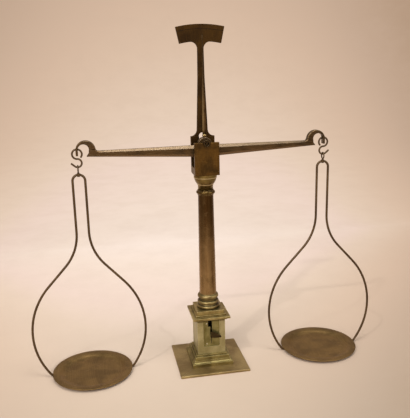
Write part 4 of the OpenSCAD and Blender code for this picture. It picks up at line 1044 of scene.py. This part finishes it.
def pan():
    """A shallow dish: flat middle, a double curve up to a level rim, and a rounded edge.

    The middle is a little uneven, as hand-beaten sheet is: waves in X and Y lift it by at most a
    few tenths, fading out towards the rim, and the same for both faces.
    """
    flat_r, rise, run, thick, edge_x = 38, 3.55, 6.3, 1.2, 56.0
    curve = (run ** 2 + rise ** 2 / 4) / rise
    sweep = np.degrees(np.arcsin(run / curve))
    low = arc(flat_r, curve, curve, -90, -90 + sweep, 8)
    high = arc(flat_r + 2 * run, rise - curve, curve, 90 + sweep, 90, 8)[1:]
    under = np.vstack([np.stack([np.linspace(0.6, 37, 22), np.zeros(22)], -1), low, high])
    rim = arc(edge_x, rise + thick / 2, thick / 2, -90, 90, 8)
    line = np.vstack([under, [[53.6, rise]], rim, [[53.6, rise + thick]], (under + [0, thick])[::-1]])
    points, faces = turned(line, around=128)
    x, y, z = points.T
    fade = np.clip(1 - (np.hypot(x, y) / 49) ** 4, 0, 1)
    wave = (np.sin(x / 7.1 + 0.6 * np.sin(y / 9.3)) * np.sin(y / 6.3 + 1.1)
            + 0.6 * np.sin((x + y) / 4.4 + 2.0) * np.sin((x - y) / 5.2) + 1.6)
    return np.stack([x, y, z + 0.08 * wave * fade], -1), faces


for side, sign in (("left_", -1), ("right_", 1)):
    at = (sign * ARM, 0, 0)
    hanger = side + "hanger"
    piece(side + "hook", [moved(hook(), at, sign < 0)], side + "hook_link", "wire")
    piece(side + "eye", [moved(s, at) for s in eye()], side + "eye_link", "wire")
    piece(side + "loop", [moved(s, at) for s in loop()], hanger, "wire")
    piece(side + "pan", [moved(pan(), at)], hanger, "pan")

# Solids that stay as they are, with their finishes
for node, finish in (("base_screws", "steel"), ("cornice_screws", "steel"), ("column_nut", "steel"),
                     ("lower_bush", "cornice"), ("upper_bush", "cornice"), ("lever_guide", "base"),
                     ("guide_rivets", "rivet"), ("lever_pin", "steel"), ("lift_rod", "steel"),
                     ("cheek_screws", "steel"), ("head_screw", "steel")):
    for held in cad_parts[node].material_slots:
        held.material = FINISH[finish]


# ---------------------------------------------------------------- studio

def stage_finish():
    """Pale paper with a painted pool of light on it, whose tone follows a ramp from pale to dark.

    The place on the ramp is a sum of four parts, in metres times a fall: how far a spot lies in
    front of the pool's back edge, the square root of how far it lies behind it, its height on the
    backdrop, and the square of its distance aside of the pool's axis as a share of the pool's
    width. The pool widens to the back from a point in front. In front of the object the paper is
    dimmed and cooled a little, and further forward it turns pale again. Far out it shows its colour
    as it is written, so that the horizon doesn't show.
    """
    pool_back, pool_start, narrowest = 0.6, -1.15, 0.9
    front_limit, pale_from, pale_to, pale_share = 0.8, 0.95, 1.7, 0.75
    front_fall, back_fall, height_fall, side_fall, side_limit = 0.58, 0.19, 0.2, 3.0, 0.45
    axis_slope, axis_shift = 0.16, 0.06
    m, tree = new_material("studio paper")
    where = spot_on(tree)
    part = parts_of(tree, where)

    beyond = calc(tree, "MAXIMUM", calc(tree, "SUBTRACT", part["Y"], pool_back), 0.0)
    back = times(tree, calc(tree, "SQRT", beyond), back_fall)
    depth = calc(tree, "SUBTRACT", pool_back, part["Y"])
    nearer = calc(tree, "MINIMUM", calc(tree, "MAXIMUM", depth, 0.0), front_limit)
    still_dim = calc(tree, "MULTIPLY_ADD", spread_out(tree, depth, pale_from, pale_to), -pale_share, 1.0)
    nearer = times(tree, nearer, still_dim)
    along = calc(tree, "MULTIPLY_ADD", nearer, front_fall, back)
    along = calc(tree, "MULTIPLY_ADD", part["Z"], height_fall, along)

    aside = calc(tree, "MULTIPLY_ADD", part["Y"], -axis_slope, part["X"])
    aside = calc(tree, "ADD", aside, axis_shift)
    width = calc(tree, "MAXIMUM", calc(tree, "SUBTRACT", part["Y"], pool_start), narrowest)
    aside = calc(tree, "DIVIDE", aside, width)
    across = times(tree, times(tree, aside, aside), side_fall)
    across = calc(tree, "MINIMUM", across, side_limit)

    ramp = place(tree, "ValToRGB", {"Fac": calc(tree, "ADD", along, across)})
    stops = ((0.0, (254, 235, 221)), (0.1, (246, 225, 208)), (0.22, (239, 214, 198)),
             (0.3, (231, 206, 184)), (0.42, (220, 192, 168)), (0.5, (213, 184, 160)),
             (0.65, (197, 169, 146)), (0.9, (176, 147, 122)))
    for i, (position, shade) in enumerate(stops):
        stop = ramp.color_ramp.elements[i] if i < 2 else ramp.color_ramp.elements.new(position)
        stop.position, stop.color = position, tone(*shade)
    mottle = spread_out(tree, noise(tree, where, 9.0, 6.0, 0.7), 0.38, 0.68)
    colour = tinted(tree, ramp.outputs["Color"], mottle, 0.13, (204, 178, 156))
    # Painted shade: the paper just in front of the object is dimmed and cooled
    close = times(tree, times(tree, nearer, nearer), 0.95)
    dim = mix(tree, close, (1, 1, 1, 1), (0.66, 0.75, 0.78, 1))
    colour = combined(tree, "MULTIPLY", colour, dim)

    lit = place(tree, "BsdfPrincipled", {"Base Color": colour, "Roughness": 0.85, "Specular IOR Level": 0.1})
    # Far out, for the camera and in reflections, the paper glows with its painted tone
    plain = place(tree, "Emission", {"Color": colour, "Strength": 1.0})
    ray = place(tree, "LightPath").outputs
    seen = calc(tree, "MAXIMUM", ray["Is Glossy Ray"], ray["Is Transmission Ray"])
    seen = calc(tree, "MAXIMUM", ray["Is Camera Ray"], seen)
    out_there = length_of(tree, part["X"], part["Y"])
    share = times(tree, spread_out(tree, out_there, 0.5, 1.0), seen)
    blend = place(tree, "MixShader", {0: share, 1: lit.outputs[0], 2: plain.outputs[0]})
    place(tree, "OutputMaterial", {"Surface": blend.outputs[0]})
    return m


def stage_piece(name, line, poles, lists, casts):
    """Lathe work seen from inside or above: its faces turned round, and only some of it kept.

    `poles` says how many of the shell's two poles go, and `lists` how many of its lists of faces
    stay: the first is the turned surface, the second the fan at its inner end.
    """
    points, faces = turned(line)
    mesh = new_mesh(name, [(points[:-poles], [f[:, ::-1] for f in faces[:lists]])])
    mesh.materials.append(PAPER)
    stage = bpy.data.objects.new(name, mesh)
    bpy.context.scene.collection.objects.link(stage)
    if not casts:
        stage.visible_shadow = False
        stage.visible_diffuse = False


PAPER = stage_finish()
stage_piece("floor", [[1.0, 0.0], [500, 0], [1200, 0], [2200, 0]], poles=1, lists=2, casts=True)
stage_piece("backdrop", np.vstack([[[2190, 0.0]], arc(2200, 1500, 1500, -90, 0, 24), [[3700, 2600]]]),
            poles=2, lists=1, casts=False)


def lamp(name, spot, aim, size, power):
    """A square soft lamp at a spot, turned to shine at a point; lengths in metres, power in watts."""
    data = bpy.data.lights.new(name, "AREA")
    data.shape, data.size, data.energy = "SQUARE", size, power
    obj = bpy.data.objects.new(name, data)
    obj.location = spot
    obj.rotation_mode = "QUATERNION"
    obj.rotation_quaternion = (Vector(aim) - Vector(spot)).to_track_quat("-Z", "Y")
    bpy.context.scene.collection.objects.link(obj)


lamp("spot", (-1.55, -1.75, 2.75), (0, 0, 0.1), 0.08, 18)
lamp("key", (-1.2, -1.6, 1.3), (0, 0, 0.2), 1.4, 27)
lamp("top", (0.1, -0.45, 2.0), (0, 0.1, 0.2), 0.7, 14)
lamp("fill", (1.5, -1.3, 1.1), (0, 0, 0.25), 1.2, 11)

world = bpy.data.worlds.new("studio air")
bpy.context.scene.world = world
world.use_nodes = True
air = world.node_tree.nodes["Background"].inputs
air["Color"].default_value = (1.0, 0.99, 0.98, 1)
air["Strength"].default_value = 0.5


# ---------------------------------------------------------------- camera

def camera():
    """The camera where the photograph's perspective puts it: turned by yaw, down by pitch, by roll."""
    place_m, yaw, pitch, roll = (-0.15073, -0.79367, 0.43466), 0.18592, 0.24727, 0.0233
    photo_width, focal_pixels, sensor = 410, 594.09, 36.0
    cy, sy, cp, sp = np.cos(yaw), np.sin(yaw), np.cos(pitch), np.sin(pitch)
    ahead = np.array([sy * cp, cy * cp, -sp])
    right = np.array([cy, -sy, 0.0])
    down = np.cross(ahead, right)
    across = np.cos(roll) * right + np.sin(roll) * down
    below = -np.sin(roll) * right + np.cos(roll) * down
    data = bpy.data.cameras.new("camera")
    data.sensor_fit, data.sensor_width = "HORIZONTAL", sensor
    data.lens = sensor * focal_pixels / photo_width
    data.clip_start, data.clip_end = 0.02, 30
    obj = bpy.data.objects.new("camera", data)
    turn = Matrix([[across[i], -below[i], -ahead[i]] for i in range(3)]).to_4x4()
    obj.matrix_world = Matrix.Translation(place_m) @ turn
    bpy.context.scene.collection.objects.link(obj)
    bpy.context.scene.camera = obj


camera()
bpy.context.scene.view_settings.view_transform = "Standard"
